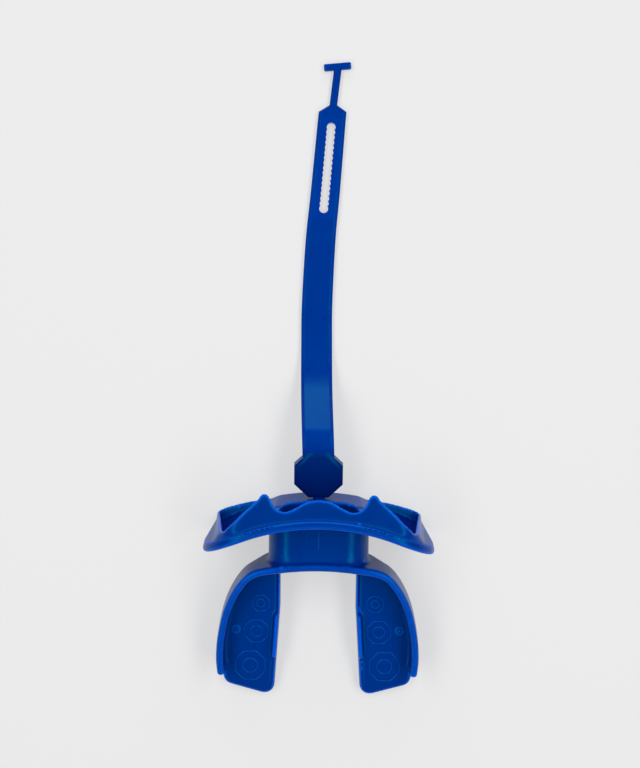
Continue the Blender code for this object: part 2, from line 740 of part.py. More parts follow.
def strap_path():
    """The strap's middle line from the side, as (y, z), from the chin to the table and along it."""
    half = STRAP_THICKNESS / 2.0
    octagon = Vector((OCTAGON_FORWARD, OCTAGON_HEIGHT))
    up = Vector((math.cos(STRAP_RISE), math.sin(STRAP_RISE)))
    start = octagon - up * (OCTAGON_FLATS / 2.0 + STEM_LENGTH)
    crest = octagon + up * (OCTAGON_FLATS / 2.0 + CREST_RUN)
    foot = Vector((crest.x + (crest.y - half) / math.tan(STRAP_FALL), half))
    end = Vector((OCTAGON_FORWARD + STRAP_LENGTH, half))
    corners = ((start, 0.0), (crest, STRAP_CREST_RADIUS), (foot, STRAP_FOOT_RADIUS), (end, 0.0))
    return rounded_outline(corners, 2 * ROUND_STEPS, closed=False)


def strap_sway():
    """How far the strap wanders sideways on the table, read at its distance forward."""
    points = [Vector((0.0, 0.0))] + [Vector((y * MM, x * MM)) for y, x in STRAP_SWAY]
    return smooth_curve(points, CURVE_STEPS)


def shoulder_start():
    """Y at which the strap's shoulders begin."""
    return OCTAGON_FORWARD + STRAP_LENGTH - TAIL_LENGTH - SHOULDER_LENGTH - BAR_WIDTH / 2.0


def strap_width(y):
    """The strap's width along its length, from its stem to its tail."""
    octagon_front = OCTAGON_FORWARD + OCTAGON_FLATS / 2.0 * math.cos(STRAP_RISE)
    shoulder = shoulder_start()
    if y < OCTAGON_FORWARD:
        return STEM_WIDTH
    if y <= shoulder:
        share = (y - octagon_front) / (shoulder - octagon_front)
        return STRAP_WIDTH + (STRAP_END_WIDTH - STRAP_WIDTH) * max(share, 0.0) ** 2
    share = min((y - shoulder) / SHOULDER_LENGTH, 1.0)
    return STRAP_END_WIDTH + (TAIL_WIDTH - STRAP_END_WIDTH) * share


def make_strap():
    """The strap as one long solid, with a wide chamfer on both upper edges."""
    path = []
    for a, b in zip(strap_path(), strap_path()[1:]):
        path.extend(spread([a, b], STRAP_GAP)[:-1])
    path.append(strap_path()[-1])
    stops = (OCTAGON_FORWARD - 0.02 * MM, OCTAGON_FORWARD, shoulder_start(),
             shoulder_start() + SHOULDER_LENGTH)
    for stop in stops:
        for i in range(len(path) - 1):
            if path[i].x < stop < path[i + 1].x:
                share = (stop - path[i].x) / (path[i + 1].x - path[i].x)
                path.insert(i + 1, path[i].lerp(path[i + 1], share))
                break
    sway = strap_sway()
    normals = outline_normals(path, closed=False)
    half = STRAP_THICKNESS / 2.0
    rings = []
    for point, normal in zip(path, normals):
        wide = strap_width(point.x) / 2.0
        x = read_curve(sway, point.x)
        top = wide - min(STRAP_CHAMFER, wide / 2.0)
        low = wide - STRAP_BEVEL
        ring = []
        for across, up in ((wide, -half + STRAP_BEVEL), (wide, half - STRAP_CHAMFER_DROP), (top, half),
                           (-top, half), (-wide, half - STRAP_CHAMFER_DROP), (-wide, -half + STRAP_BEVEL),
                           (-low, -half), (low, -half)):
            spot = point - normal * up
            ring.append(Vector((x + across, spot.x, spot.y)))
        rings.append(ring)
    return loft("strap", rings)


def make_octagon():
    """The octagonal plate on the strap, with a bevelled border."""
    rings = []
    half = OCTAGON_THICKNESS / 2.0
    layers = ((0.0, -half), (0.0, half - OCTAGON_BEVEL_DROP), (OCTAGON_BEVEL, half))
    for inset, height in layers:
        corner = (OCTAGON_FLATS / 2.0 - inset) / math.cos(math.pi / 8.0)
        ring = []
        for k in range(8):
            angle = math.pi / 8.0 + k * math.pi / 4.0
            ring.append(Vector((corner * math.cos(angle), corner * math.sin(angle), height)))
        rings.append(ring)
    octagon = loft("octagon", rings)
    place = Vector((read_curve(strap_sway(), OCTAGON_FORWARD), OCTAGON_FORWARD, OCTAGON_HEIGHT))
    octagon.data.transform(Matrix.Translation(place) @ Matrix.Rotation(STRAP_RISE, 4, "X"))
    return octagon


def make_slot():
    """Cutter for the scalloped slot: a row of round holes that run into each other."""
    radius = SLOT_WIDTH / 2.0
    waist = math.asin(min(SLOT_PITCH / 2.0 / radius, 1.0))
    middle = shoulder_start() - SLOT_FROM_END
    sway = strap_sway()
    right, left = [], []
    for i in range(SLOT_HOLES):
        y = middle + (i - (SLOT_HOLES - 1) / 2.0) * SLOT_PITCH
        centre = Vector((read_curve(sway, y), y))
        start = -math.pi / 2.0 if i == 0 else -waist
        end = math.pi / 2.0 if i == SLOT_HOLES - 1 else waist
        arc_steps = ROUND_STEPS if i in (0, SLOT_HOLES - 1) else 3
        for k in range(1 if i else 0, arc_steps + 1):
            angle = start + (end - start) * k / arc_steps
            right.append(centre + Vector((math.cos(angle), math.sin(angle))) * radius)
            left.append(centre + Vector((-math.cos(angle), math.sin(angle))) * radius)
    outline = right + list(reversed(left[1:-1]))
    rings = []
    for z in (-STRAP_THICKNESS, 2.0 * STRAP_THICKNESS):
        rings.append([Vector((p.x, p.y, z)) for p in outline])
    return loft("slot", rings)


def make_bar():
    """The cross bar on the strap's tail."""
    y = OCTAGON_FORWARD + STRAP_LENGTH
    x = read_curve(strap_sway(), y)
    rings = []
    for inset, height in ((STRAP_BEVEL, 0.0), (0.0, STRAP_BEVEL), (0.0, STRAP_THICKNESS - STRAP_BEVEL),
                          (STRAP_BEVEL, STRAP_THICKNESS)):
        wide = BAR_LENGTH / 2.0 - inset
        deep = BAR_WIDTH / 2.0 - inset
        corners = ((-wide, -deep), (-wide, deep), (wide, deep), (wide, -deep))
        corners = [(Vector(corner), BAR_CORNER) for corner in corners]
        turn = Matrix.Rotation(BAR_TURN, 2)
        ring = []
        for p in rounded_outline(corners, 2):
            spot = turn @ p + Vector((x, y))
            ring.append(Vector((spot.x, spot.y, height)))
        rings.append(ring)
    return loft("bar", rings)


def make_mouthguard():
    guard = make_guard()
    pitch, lowest = resting_pitch(guard)
    guard.data.transform(Matrix.Translation((0.0, 0.0, -lowest)) @ Matrix.Rotation(pitch, 4, "X"))
    strap = make_strap()
    combine(strap, make_octagon(), "UNION")
    combine(strap, make_slot(), "DIFFERENCE")
    combine(strap, make_bar(), "UNION")
    combine(guard, strap, "UNION")
    guard.name = "mouthguard"
    merge_flat_facets(guard)
    guard.data.shade_smooth()
    guard.data.set_sharp_from_angle(angle=SHARP_ANGLE)
    corners = [v.co for v in guard.data.vertices]
    low = Vector([min(c[i] for c in corners) for i in range(3)])
    high = Vector([max(c[i] for c in corners) for i in range(3)])
    guard.data.transform(Matrix.Translation((-(low.x + high.x) / 2.0, -(low.y + high.y) / 2.0, -low.z)))
    guard.data.materials.clear()
    guard.data.materials.append(make_material("blue soft rubber", RUBBER_COLOUR, RUBBER_ROUGHNESS))
    return guard


clear_scene()
make_mouthguard()
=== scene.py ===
"""Looks of a moulded rubber mouthguard with a lip guard and a tether strap, on a pale table.

The guard (tooth tray, neck and lip guard) is drawn in its own upright frame: the origin is the middle of the
lip guard's back face, the XY plane is the bite plane and +Y points away from the face. It is then pitched
to the angle at which it rests on the table. All lengths are metres.
"""

import math

import bmesh
import bpy
from bpy.props import FloatProperty, FloatVectorProperty, IntProperty, PointerProperty
from bpy.types import Operator, Panel, PropertyGroup
from mathutils import Matrix, Vector


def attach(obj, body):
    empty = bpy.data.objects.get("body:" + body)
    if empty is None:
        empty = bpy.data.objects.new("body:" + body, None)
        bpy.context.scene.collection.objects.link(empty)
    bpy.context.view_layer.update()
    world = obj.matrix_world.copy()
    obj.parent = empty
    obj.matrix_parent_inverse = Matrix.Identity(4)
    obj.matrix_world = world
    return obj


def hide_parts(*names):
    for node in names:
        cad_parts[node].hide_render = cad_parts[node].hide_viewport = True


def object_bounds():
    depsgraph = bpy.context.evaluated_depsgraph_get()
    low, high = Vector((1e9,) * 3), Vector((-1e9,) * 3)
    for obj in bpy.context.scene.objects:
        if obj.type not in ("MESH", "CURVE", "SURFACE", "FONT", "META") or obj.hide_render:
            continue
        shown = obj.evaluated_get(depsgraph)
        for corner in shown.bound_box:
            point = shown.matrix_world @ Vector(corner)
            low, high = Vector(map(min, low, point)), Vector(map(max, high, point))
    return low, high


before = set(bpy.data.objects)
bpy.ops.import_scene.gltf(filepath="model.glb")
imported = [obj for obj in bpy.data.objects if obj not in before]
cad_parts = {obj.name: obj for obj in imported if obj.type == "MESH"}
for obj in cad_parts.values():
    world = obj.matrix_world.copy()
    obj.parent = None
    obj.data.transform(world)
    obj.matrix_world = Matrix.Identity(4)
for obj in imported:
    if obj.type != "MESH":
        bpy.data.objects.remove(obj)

bl_info = {
    "name": "Moulded Mouthguard",
    "version": (1, 0, 0),
    "blender": (4, 5, 0),
    "location": "View3D > Sidebar > Mouthguard",
    "description": "Builds a one-piece rubber mouthguard with a lip guard and a tether strap",
    "category": "Add Mesh",
}

MM = 0.001
CAD_NODE = "mouthguard"
CAD_BODY = "root"
CAD_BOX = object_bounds()

# The tray wall's outer face, right half: share of the half width, share of the depth
ARCH_SHAPE = ((0.0, 0.0), (0.34, 0.018), (0.64, 0.068), (0.80, 0.197),
              (0.92, 0.41), (0.985, 0.66), (1.0, 0.86), (0.985, 1.0))
# The visor's wavy front edge, right half, in mm: across, forward of the plate's back face
VISOR_WAVE = ((0.0, 8.8), (2.2, 8.55), (4.5, 7.75), (7.0, 6.25), (9.9, 4.95), (12.0, 5.4), (13.3, 6.35),
              (14.45, 8.3), (15.1, 9.95), (16.35, 10.65), (17.6, 10.0), (18.5, 8.6), (22.6, 4.7),
              (26.55, 0.5), (28.3, -1.6))
# How the strap wanders on the table, in mm: forward of the guard's origin, sideways
STRAP_SWAY = ((12.0, -0.3), (19.3, -0.45), (36.7, -1.15), (52.4, -1.4), (65.9, -1.4), (85.4, -0.55),
              (99.3, 0.65), (113.3, 1.75), (125.8, 2.75), (138.2, 4.1))
# Octagon grip rings on each pad, in mm: behind the front wall, across, radius
GRIP_RINGS = ((15.6, 17.7, 2.75), (24.8, 19.0, 3.80), (36.1, 20.9, 4.80))

# Fineness of the meshes: steps on a curve or round a corner, and gaps between the points of a line
ARCH_STEPS = 110
ARCH_CURVE_STEPS = 24
CURVE_STEPS = 16
NECK_STEPS = 40
CHIN_STEPS = 40
PARTING_LINE_STEPS = 24
ROUND_STEPS = 10
WALL_ROUND_STEPS = 6
STRAP_ROUND_STEPS = 3
BAR_ROUND_STEPS = 5
OVAL_STEPS = 24
TURN_STEPS = 28
HOLE_STEPS = 8
HOLE_END_STEPS = 12
OUTLINE_GAP = 0.9 * MM
VISOR_GAP = 0.55 * MM
STRAP_GAP = 1.6 * MM
# How far one form reaches into the next where they are joined
SINK = 0.35 * MM
# Points closer than this are one point
WELD = 0.001 * MM
# How far the cutters of the airway and of the strap's slot stand out of what they cut
DUCT_CUT_REACH = 6.0 * MM
SLOT_CUT_REACH = 1.0 * MM
# Length over which the stem widens to the strap, hidden inside the octagon
STEM_STEP = 0.02 * MM
# The most of a side that one rounded corner takes up
CORNER_SHARE = 0.49
# Share of the tray's depth over which the wall comes down to its side height
WALL_FALL = 0.6
# The least share of its rise that the ledge along the lip guard's lower edge keeps
LEDGE_SHARE = 0.04
# How squarely a face looks forward to count as a recess's floor
FLOOR_FACING = 0.4
# The resting pitch is found by halving, from level to the steepest that a guard could lie
STEEPEST_PITCH = math.radians(40.0)
PITCH_ROUNDS = 30
# A noise texture keeps mostly between these values
NOISE_LOW = 0.3
NOISE_HIGH = 0.7
CAMERA_CLIP = 1.0 * MM


def length(name, description, millimetres):
    return FloatProperty(name=name, description=description, default=millimetres * MM,
                         unit="LENGTH", precision=5)


def angle(name, description, degrees):
    return FloatProperty(name=name, description=description, default=math.radians(degrees), subtype="ANGLE")


def share(name, description, default):
    return FloatProperty(name=name, description=description, default=default, min=0.0, max=1.0,
                         subtype="FACTOR")


def power(name, description, watts):
    return FloatProperty(name=name, description=description, default=watts, unit="POWER")


def linear(hex_colour):
    """Scene linear red, green and blue of an sRGB hex colour."""
    values = []
    for start in (1, 3, 5):
        value = int(hex_colour[start:start + 2], 16) / 255.0
        values.append(value / 12.92 if value <= 0.04045 else ((value + 0.055) / 1.055) ** 2.4)
    return tuple(values)


def colour(name, description, hex_colour):
    return FloatVectorProperty(name=name, description=description, default=linear(hex_colour),
                               subtype="COLOR", size=3, min=0.0, max=1.0)


class TraySizes(PropertyGroup):
    half_width: length("Half width", "Middle plane to the wall's outer face", 31.25)
    depth: length("Depth", "Front of the wall to its rear ends", 36.9)
    wall: length("Wall", "Thickness of the wall", 2.3)
    wall_edge: length("Wall edge", "Radius of the wall's upper edges", 1.1)
    front_height: length("Front height", "Wall above the bite plane at the front", 9.5)
    side_height: length("Side height", "Wall above the bite plane at the sides", 7.6)
    skirt: length("Skirt", "Wall below the bite plane round the airway", 8.6)
    skirt_half_width: length("Skirt half width", "Where the skirt begins to run out", 14.0)
    skirt_run_out: length("Skirt run-out", "Width over which the skirt runs out", 7.0)
    pad: length("Pad", "Thickness of the bite pads", 2.8)
    pad_seat: length("Pad seat", "How far the pads reach into the wall", 0.8)
    pad_inner_front: length("Pad inner front", "Middle plane to a pad's inner edge at the front", 11.6)
    pad_inner_rear: length("Pad inner rear", "Middle plane to a pad's inner edge at the rear", 13.5)
    pad_straight: length("Pad straight", "Front wall to where that edge starts to lean out", 16.5)
    pad_reach: length("Pad reach", "Pads behind the wall's rear ends", 9.6)
    pad_slant: angle("Pad slant", "Slant of a pad's rear edge", 16.0)
    pad_corner: length("Pad corner", "Radius of a pad's rear corners", 3.2)
    pad_edge: length("Pad edge", "Rounding of a pad's upper and lower edges", 0.7)
    ridge_width: length("Ridge width", "Low ridge on a pad's inner edge", 0.8)
    ridge_height: length("Ridge height", "Height of that ridge", 0.9)
    tab_width: length("Tab width", "Raised tab on a pad's inner edge", 1.6)
    tab_height: length("Tab height", "Height of the tab", 2.6)
    tab_start: length("Tab start", "Front wall to the tab", 18.9)
    tab_length: length("Tab length", "Length of the tab", 14.1)


class NeckSizes(PropertyGroup):
    length: length("Length", "Lip guard to the tray wall", 12.9)
    width: length("Width", "Across the oval", 30.7)
    height: length("Height", "Height of the oval", 14.0)
    flare: length("Flare", "How much the neck widens into the tray", 2.1)
    flare_length: length("Flare length", "Length of that flare", 4.2)
    duct_width: length("Airway width", "Across the airway", 25.0)
    duct_rear_width: length("Airway rear width", "Across the airway at the tray", 22.6)
    duct_height: length("Airway height", "Height of the airway", 9.8)
    duct_round: length("Airway mouth", "Rounding of the airway's mouth", 0.9)
    mould_line_width: length("Mould line width", "Width of the parting line on the neck", 0.2)
    mould_line_height: length("Mould line height", "Height of the parting line", 0.04)


class PlateSizes(PropertyGroup):
    radius: length("Radius", "Curve of the back face round the face", 64.0)
    thickness: length("Thickness", "Thickness of the plate", 2.6)
    top: length("Top", "Plate above the bite plane", 15.2)
    bottom: length("Bottom", "Plate below the bite plane", 14.8)
    half_top: length("Half top", "Middle plane to the upper corners", 37.9)
    half_bottom: length("Half bottom", "Middle plane to the lower corners", 32.5)
    top_corner: length("Top corner", "Radius of the upper corners", 13.0)
    bottom_corner: length("Bottom corner", "Radius of the lower corners", 1.6)
    rim_step: length("Rim step", "Width of the sloping step between the rim and the front face", 0.35)
    rim_round: length("Rim round", "Rounding of the rim", 0.6)
    field: share("Field", "Share of the outline that the inner face rows keep", 0.82)
    pocket_depth: length("Pocket depth", "Depth of the recesses beside the airway", 1.3)
    pocket_side_top: length("Pocket side, top", "Middle plane to a recess at the plate's top", 13.5)
    pocket_side_bottom: length("Pocket side, bottom", "Middle plane to a recess at the bottom", 15.8)
    pocket_slope: length("Pocket slope", "Slope of a recess's inner side", 1.2)
    pocket_cut_reach: length("Pocket cut reach", "How far the recess's cutter stands out", 3.1)
    chin_rise: length("Chin rise", "Raised face below the airway", 0.9)
    chin_half_top: length("Chin half top", "Half the width of that face at the airway", 13.6)
    chin_half_bottom: length("Chin half bottom", "Half the width of that face at its lower edge", 12.3)


class VisorSizes(PropertyGroup):
    inset: length("Inset", "Plate's upper edge to the visor", 2.4)
    half_width: length("Half width", "Middle plane to the visor's corners", 29.2)
    corner: length("Corner", "Radius in which the visor turns into a side wall", 5.0)
    edge: length("Edge", "Thickness of the visor's edge", 0.8)
    root: length("Root", "Thickening towards the plate", 2.0)
    root_fillet: length("Root fillet", "Fillet between the visor and the plate", 0.25)
    side_rise: length("Side rise", "Side walls in front of the plate, at the top", 1.8)
    side_slope: length("Side slope", "Width of the side walls' outer slope", 2.4)
    foot_rise: length("Foot rise", "Side walls in front of the plate, at the lower corners", 2.5)
    ledge_end: length("Ledge end", "Where the ledge along the lower edge has run out", 14.0)


class StrapSizes(PropertyGroup):
    width: length("Width", "Strap beside the octagon", 9.8)
    end_width: length("End width", "Strap at its shoulders", 8.7)
    thickness: length("Thickness", "Thickness of the strap", 2.0)
    bevel: length("Bevel", "Rounding of the strap's edges", 0.35)
    chamfer: length("Chamfer", "Width of the chamfers on the upper edges", 1.0)
    chamfer_drop: length("Chamfer drop", "Depth of those chamfers", 0.4)
    length: length("Length", "Octagon to the cross bar", 127.3)
    rise: angle("Rise", "Angle at which the strap leaves the chin", 21.0)
    fall: angle("Fall", "Angle at which it comes down to the table", 36.5)
    crest_radius: length("Crest radius", "Bend at the highest point", 7.0)
    foot_radius: length("Foot radius", "Bend where it meets the table", 30.0)
    shoulder: length("Shoulder", "Length of the shoulders", 2.1)
    stem_width: length("Stem width", "Stem between the chin and the octagon", 3.7)
    stem_reach: length("Stem reach", "Octagon's edge to the stem's end, and to the crest ahead", 4.0)
    crest_reach: length("Crest reach", "How much farther away the crest is", 0.3)
    octagon: length("Octagon", "Octagon plate across its flats", 15.0)
    octagon_thickness: length("Octagon thickness", "Thickness of the octagon plate", 3.4)
    octagon_border: length("Octagon border", "Width of its sloping border", 1.1)
    octagon_drop: length("Octagon drop", "Height of that border", 0.6)
    octagon_ease: length("Octagon ease", "Rounding of its edges", 0.12)
    octagon_height: length("Octagon height", "Table to the octagon's middle", 12.2)
    octagon_forward: length("Octagon forward", "Guard's origin to the octagon's middle", 12.5)
    holes: IntProperty(name="Holes", description="Holes that run together in the slot", default=17, min=2)
    hole_pitch: length("Hole pitch", "Distance between the holes", 1.6)
    hole_width: length("Hole width", "Width of the holes", 2.8)
    slot_from_end: length("Slot from end", "Shoulders to the slot's middle", 17.6)
    tail_width: length("Tail width", "Width of the tail", 2.4)
    tail_length: length("Tail length", "Length of the tail", 11.0)
    bar_length: length("Bar length", "Length of the cross bar", 8.6)
    bar_width: length("Bar width", "Width of the cross bar", 2.2)
    bar_corner: length("Bar corner", "Radius of the cross bar's corners", 0.5)
    bar_turn: angle("Bar turn", "Turn of the cross bar on the table", 5.5)
    sharp_bend: angle("Sharp bend", "Bend from which an edge of the strap is drawn sharp", 28.0)


class MarkSizes(PropertyGroup):
    ring_line: length("Ring line", "Width of a grip ring's line", 0.36)
    ring_height: length("Ring height", "Height of a grip ring's line", 0.3)
    ring_inner: share("Inner ring", "Size of the inner ring", 0.5)
    sharp_bend: angle("Sharp bend", "Bend from which an edge of a grip ring is drawn sharp", 40.0)
    gate_behind: length("Gate behind", "Front wall to the gate mark", 24.3)
    gate_across: length("Gate across", "Middle plane to the gate mark", 25.4)
    gate_radius: length("Gate radius", "Round seat of the gate mark", 1.5)
    gate_height: length("Gate height", "Height of that seat", 0.1)
    pip_radius: length("Pip radius", "Torn stub in the gate mark", 0.42)


class RubberFinish(PropertyGroup):
    skin: colour("Skin", "Dyed rubber in plain light", "#002c8c")
    flow_dark: share("Flow mark", "Tone of the skin in the flow marks", 0.85)
    shine: colour("Shine", "Tint of the satin shine", "#00e6ff")
    ior: FloatProperty(name="IOR", description="Refraction of the rubber", default=1.5)
    satin_shine: share("Satin shine", "Strength of the satin skin's shine", 0.4)
    roughness: share("Roughness", "Mean roughness of the satin skin", 0.3)
    roughness_spread: share("Roughness spread", "How far the flow marks shift the roughness", 0.04)
    # Rim light: a lighter blue painted on rounded edges and rims, a painted highlight for the light they take
    # in from their sides
    rim_light_tone: colour("Edge tone", "Rims, where light comes through from both sides", "#0050d0")
    rim_light_start: share("Edge start", "Bend of the skin at which a rim starts to lighten", 0.507)
    rim_light_full: share("Edge full", "Bend at which it has its full tone", 0.535)
    # Painted highlight: a lighter blue on the raised marks' rounded edges
    mark_rim_light: colour("Mark tone", "Raised marks of the mould", "#0048b0")
    # Painted highlight: a lighter blue on the strap's rounded edges
    strap_rim_light: colour("Strap edge", "Edges of the strap", "#002c94")
    # The strap's skin is painted a little lighter: painted light for the white table showing through it
    strap_backlit_tone: colour("Strap tone", "The thin strap, with the white table behind it", "#002a90")
    # The recesses' colour is a darker blue: painted shade for the shade under the visor
    shaded_coarse: colour("Coarse skin", "The recesses' coarse skin", "#001e78")
    coarse_roughness: share("Coarse roughness", "Roughness of the recesses' coarse skin", 0.9)
    coarse_shine: share("Coarse shine", "Shine that the coarse skin keeps", 0.1)
    coarse_ior: FloatProperty(name="Coarse IOR", description="Refraction that the coarse skin shows",
                              default=1.2)
    grain: length("Grain", "Size of the mould's spark-eroded grain", 0.32)
    grain_height: length("Grain height", "Height of that grain", 0.012)
    flow: length("Flow", "Size of the faint flow marks", 9.0)
    # The octagon's field is painted a deeper blue: painted shade for the shade it lies in on the table
    shaded_polish: colour("Polished skin", "The octagon's deep polished field", "#001f6b")
    polish_roughness: share("Polish roughness", "Roughness of the polished field", 0.3)
    polish_shine: share("Polish shine", "Strength of the polished field's shine", 0.25)
    fillet_grid: length("Fillet grid", "Grid on which the corners of the moulding are softened", 0.395)
    fillet_passes: IntProperty(name="Fillet passes", description="Softening passes", default=6, min=0)
    triangles: IntProperty(name="Triangles", description="Most triangles in the moulding", default=190000)


class StageSizes(PropertyGroup):
    floor: colour("Floor", "Pale matt card", "#e9e9e9")
    floor_half: length("Floor half", "Middle of the card to its edges", 3000.0)
    floor_glow: share("Floor glow", "Share of the floor's tone that no shadow reaches", 0.62)
    camera_height: length("Camera height", "Camera above the table", 600.0)
    view_height: length("View height", "Table that the picture takes in, top to bottom", 241.5)
    view_ahead: length("View ahead", "Guard's origin to the middle of the picture", 40.2)
    view_side: length("View side", "Middle plane to the middle of the picture", -0.2)
    roll: angle("Roll", "Turn of the camera", 0.7)
    softbox_reach: length("Softbox reach", "Middle of the table to the softboxes, sideways", 310.0)
    softbox_height: length("Softbox height", "Softboxes above the table", 560.0)
    softbox_width: length("Softbox width", "Width of the softboxes", 200.0)
    softbox_length: length("Softbox length", "Length of the softboxes along the strap", 900.0)
    left_power: power("Left power", "Power of the left softbox", 2.15)
    right_power: power("Right power", "Power of the right softbox", 2.35)
    key_reach: length("Key reach", "Middle of the table to the key light beyond the strap", 900.0)
    key_height: length("Key height", "Key light above the table", 380.0)
    key_face: length("Key face", "Height of the key light's face", 400.0)
    key_power: power("Key power", "Power of the key light", 2.75)
    sky: FloatProperty(name="Sky", description="Strength of the even light all round", default=0.25)


class MouthguardSettings(PropertyGroup):
    tray: PointerProperty(type=TraySizes)
    neck: PointerProperty(type=NeckSizes)
    plate: PointerProperty(type=PlateSizes)
    visor: PointerProperty(type=VisorSizes)
    strap: PointerProperty(type=StrapSizes)
    marks: PointerProperty(type=MarkSizes)
    rubber: PointerProperty(type=RubberFinish)
    stage: PointerProperty(type=StageSizes)


def smooth_curve(points, steps):
    """A Catmull-Rom curve through the points, with the given steps between each pair."""
    ends = [points[0] * 2.0 - points[1]] + list(points) + [points[-1] * 2.0 - points[-2]]
    curve = []
    for i in range(1, len(ends) - 2):
        a, b, c, d = ends[i - 1:i + 3]
        for k in range(steps):
            t = k / steps
            curve.append(0.5 * ((2.0 * b) + (c - a) * t + (2.0 * a - 5.0 * b + 4.0 * c - d) * t * t
                                + (3.0 * b - a - 3.0 * c + d) * t * t * t))
    curve.append(points[-1].copy())
    return curve


def read_curve(curve, x):
    """The second coordinate of a curve, read at the first."""
    if x <= curve[0].x:
        return curve[0].y
    for a, b in zip(curve, curve[1:]):
        if x <= b.x:
            return a.y + (b.y - a.y) * (x - a.x) / max(b.x - a.x, 1e-9)
    return curve[-1].y


def blend(start, end, part):
    return start + (end - start) * part


def soft_step(value, start, end):
    part = min(max((value - start) / (end - start), 0.0), 1.0)
    return part * part * (3.0 - 2.0 * part)


def round_corner(before, corner, after, radius, steps):
    """The arc that rounds one corner of an outline."""
    back = (before - corner).normalized()
    ahead = (after - corner).normalized()
    half = back.angle(ahead) / 2.0
    reach = min(radius / math.tan(half), (before - corner).length * CORNER_SHARE,
                (after - corner).length * CORNER_SHARE)
    size = reach * math.tan(half)
    centre = corner + (back + ahead).normalized() * (size / math.sin(half))
    first = corner + back * reach - centre
    last = corner + ahead * reach - centre
    sweep = first.angle_signed(last)
    return [centre + Matrix.Rotation(-sweep * k / steps, 2) @ first for k in range(steps + 1)]


def rounded_outline(corners, steps, closed=True):
    """Corners given as (point, radius), with each rounded corner as an arc."""
    points = []
    last = len(corners) - 1
    for i, (corner, radius) in enumerate(corners):
        if radius <= 0.0 or (not closed and i in (0, last)):
            points.append(corner.copy())
        else:
            before = corners[i - 1][0]
            after = corners[(i + 1) % len(corners)][0]
            points.extend(round_corner(before, corner, after, radius, steps))
    return points


def outline_normals(points, closed=True):
    """Unit normals to the right of the direction of travel."""
    normals = []
    count = len(points)
    for i in range(count):
        before = points[i - 1] if closed or i else points[0]
        after = points[(i + 1) % count] if closed or i < count - 1 else points[-1]
        along = (after - before).normalized()
        normals.append(Vector((along.y, -along.x)))
    return normals


def inset_line(points, distance, closed=False):
    """The line moved to its right by a distance."""
    return [p + n * distance for p, n in zip(points, outline_normals(points, closed))]


def spread(points, gap):
    """The same open line with points about a gap apart, its ends kept."""
    lengths = [0.0]
    for a, b in zip(points, points[1:]):
        lengths.append(lengths[-1] + (b - a).length)
    count = max(2, round(lengths[-1] / gap))
    line = []
    k = 0
    for i in range(count + 1):
        want = lengths[-1] * i / count
        while k < len(points) - 2 and lengths[k + 1] < want:
            k += 1
        part = (want - lengths[k]) / max(lengths[k + 1] - lengths[k], 1e-12)
        line.append(points[k].lerp(points[k + 1], part))
    return line


def mirrored(points):
    """A half line that starts on the middle plane, with its mirror image before it."""
    return [Vector((-p.x, p.y)) for p in reversed(points[1:])] + list(points)


def at_height(outline, height):
    return [Vector((p.x, p.y, height)) for p in outline]


def around(middle, radius, turn, height):
    """The point at a turn round an upright axis."""
    return Vector((middle.x + radius * math.cos(turn), middle.y + radius * math.sin(turn), height))


def new_object(name, form):
    bmesh.ops.recalc_face_normals(form, faces=form.faces)
    mesh = bpy.data.meshes.new(name)
    form.to_mesh(mesh)
    form.free()
    piece = bpy.data.objects.new(name, mesh)
    bpy.context.scene.collection.objects.link(piece)
    return piece


def add_skin(form, rings, closed=False):
    """Faces between rings of points, and from the last ring to the first if it is closed on itself."""
    rows = [[form.verts.new(point) for point in ring] for ring in rings]
    for a, b in zip(rows, rows[1:] + rows[:1] if closed else rows[1:]):
        for i in range(len(a)):
            j = (i + 1) % len(a)
            form.faces.new((a[i], a[j], b[j], b[i]))
    return rows


def add_loft(form, rings, closed=False):
    """Skin through rings of points, capped at both ends or closed on itself."""
    rows = add_skin(form, rings, closed)
    if not closed:
        form.faces.new(list(reversed(rows[0])))
        form.faces.new(rows[-1])


def loft(name, rings):
    form = bmesh.new()
    add_loft(form, rings)
    return new_object(name, form)


def clean(solid):
    """Merge points that a join leaves on top of each other, and split every face into triangles."""
    form = bmesh.new()
    form.from_mesh(solid.data)
    bmesh.ops.triangulate(form, faces=form.faces)
    bmesh.ops.remove_doubles(form, verts=form.verts, dist=WELD)
    bmesh.ops.dissolve_degenerate(form, edges=form.edges, dist=WELD)
    bmesh.ops.triangulate(form, faces=form.faces)
    form.to_mesh(solid.data)
    form.free()


def apply_modifiers(solid):
    """Swap the mesh for the one that its modifiers make."""
    bpy.context.view_layer.update()
    shaped = solid.evaluated_get(bpy.context.evaluated_depsgraph_get())
    mesh = bpy.data.meshes.new_from_object(shaped)
    solid.modifiers.clear()
    solid.data = mesh


def combine(base, tool, operation):
    """Join or cut one solid with another, and drop the tool."""
    modifier = base.modifiers.new(operation.lower(), "BOOLEAN")
    modifier.operation = operation
    modifier.solver = "EXACT"
    modifier.object = tool
    apply_modifiers(base)
    clean(base)
    bpy.data.objects.remove(tool, do_unlink=True)


def absorb(base, form):
    """Put a form into the same mesh as the base, where one skin will be drawn over both."""
    both = bmesh.new()
    both.from_mesh(base.data)
    both.from_mesh(form.data)
    both.to_mesh(base.data)
    both.free()
    bpy.data.objects.remove(form, do_unlink=True)


def mirror_solid(solid, name):
    """A copy of a solid, mirrored to the other side."""
    form = bmesh.new()
    form.from_mesh(solid.data)
    bmesh.ops.transform(form, matrix=Matrix.Scale(-1.0, 4, Vector((1.0, 0.0, 0.0))), verts=form.verts)
    bmesh.ops.reverse_faces(form, faces=form.faces)
    return new_object(name, form)


def wall_front(m):
    """Y of the tray wall's outer face in the middle."""
    return -m.neck.length


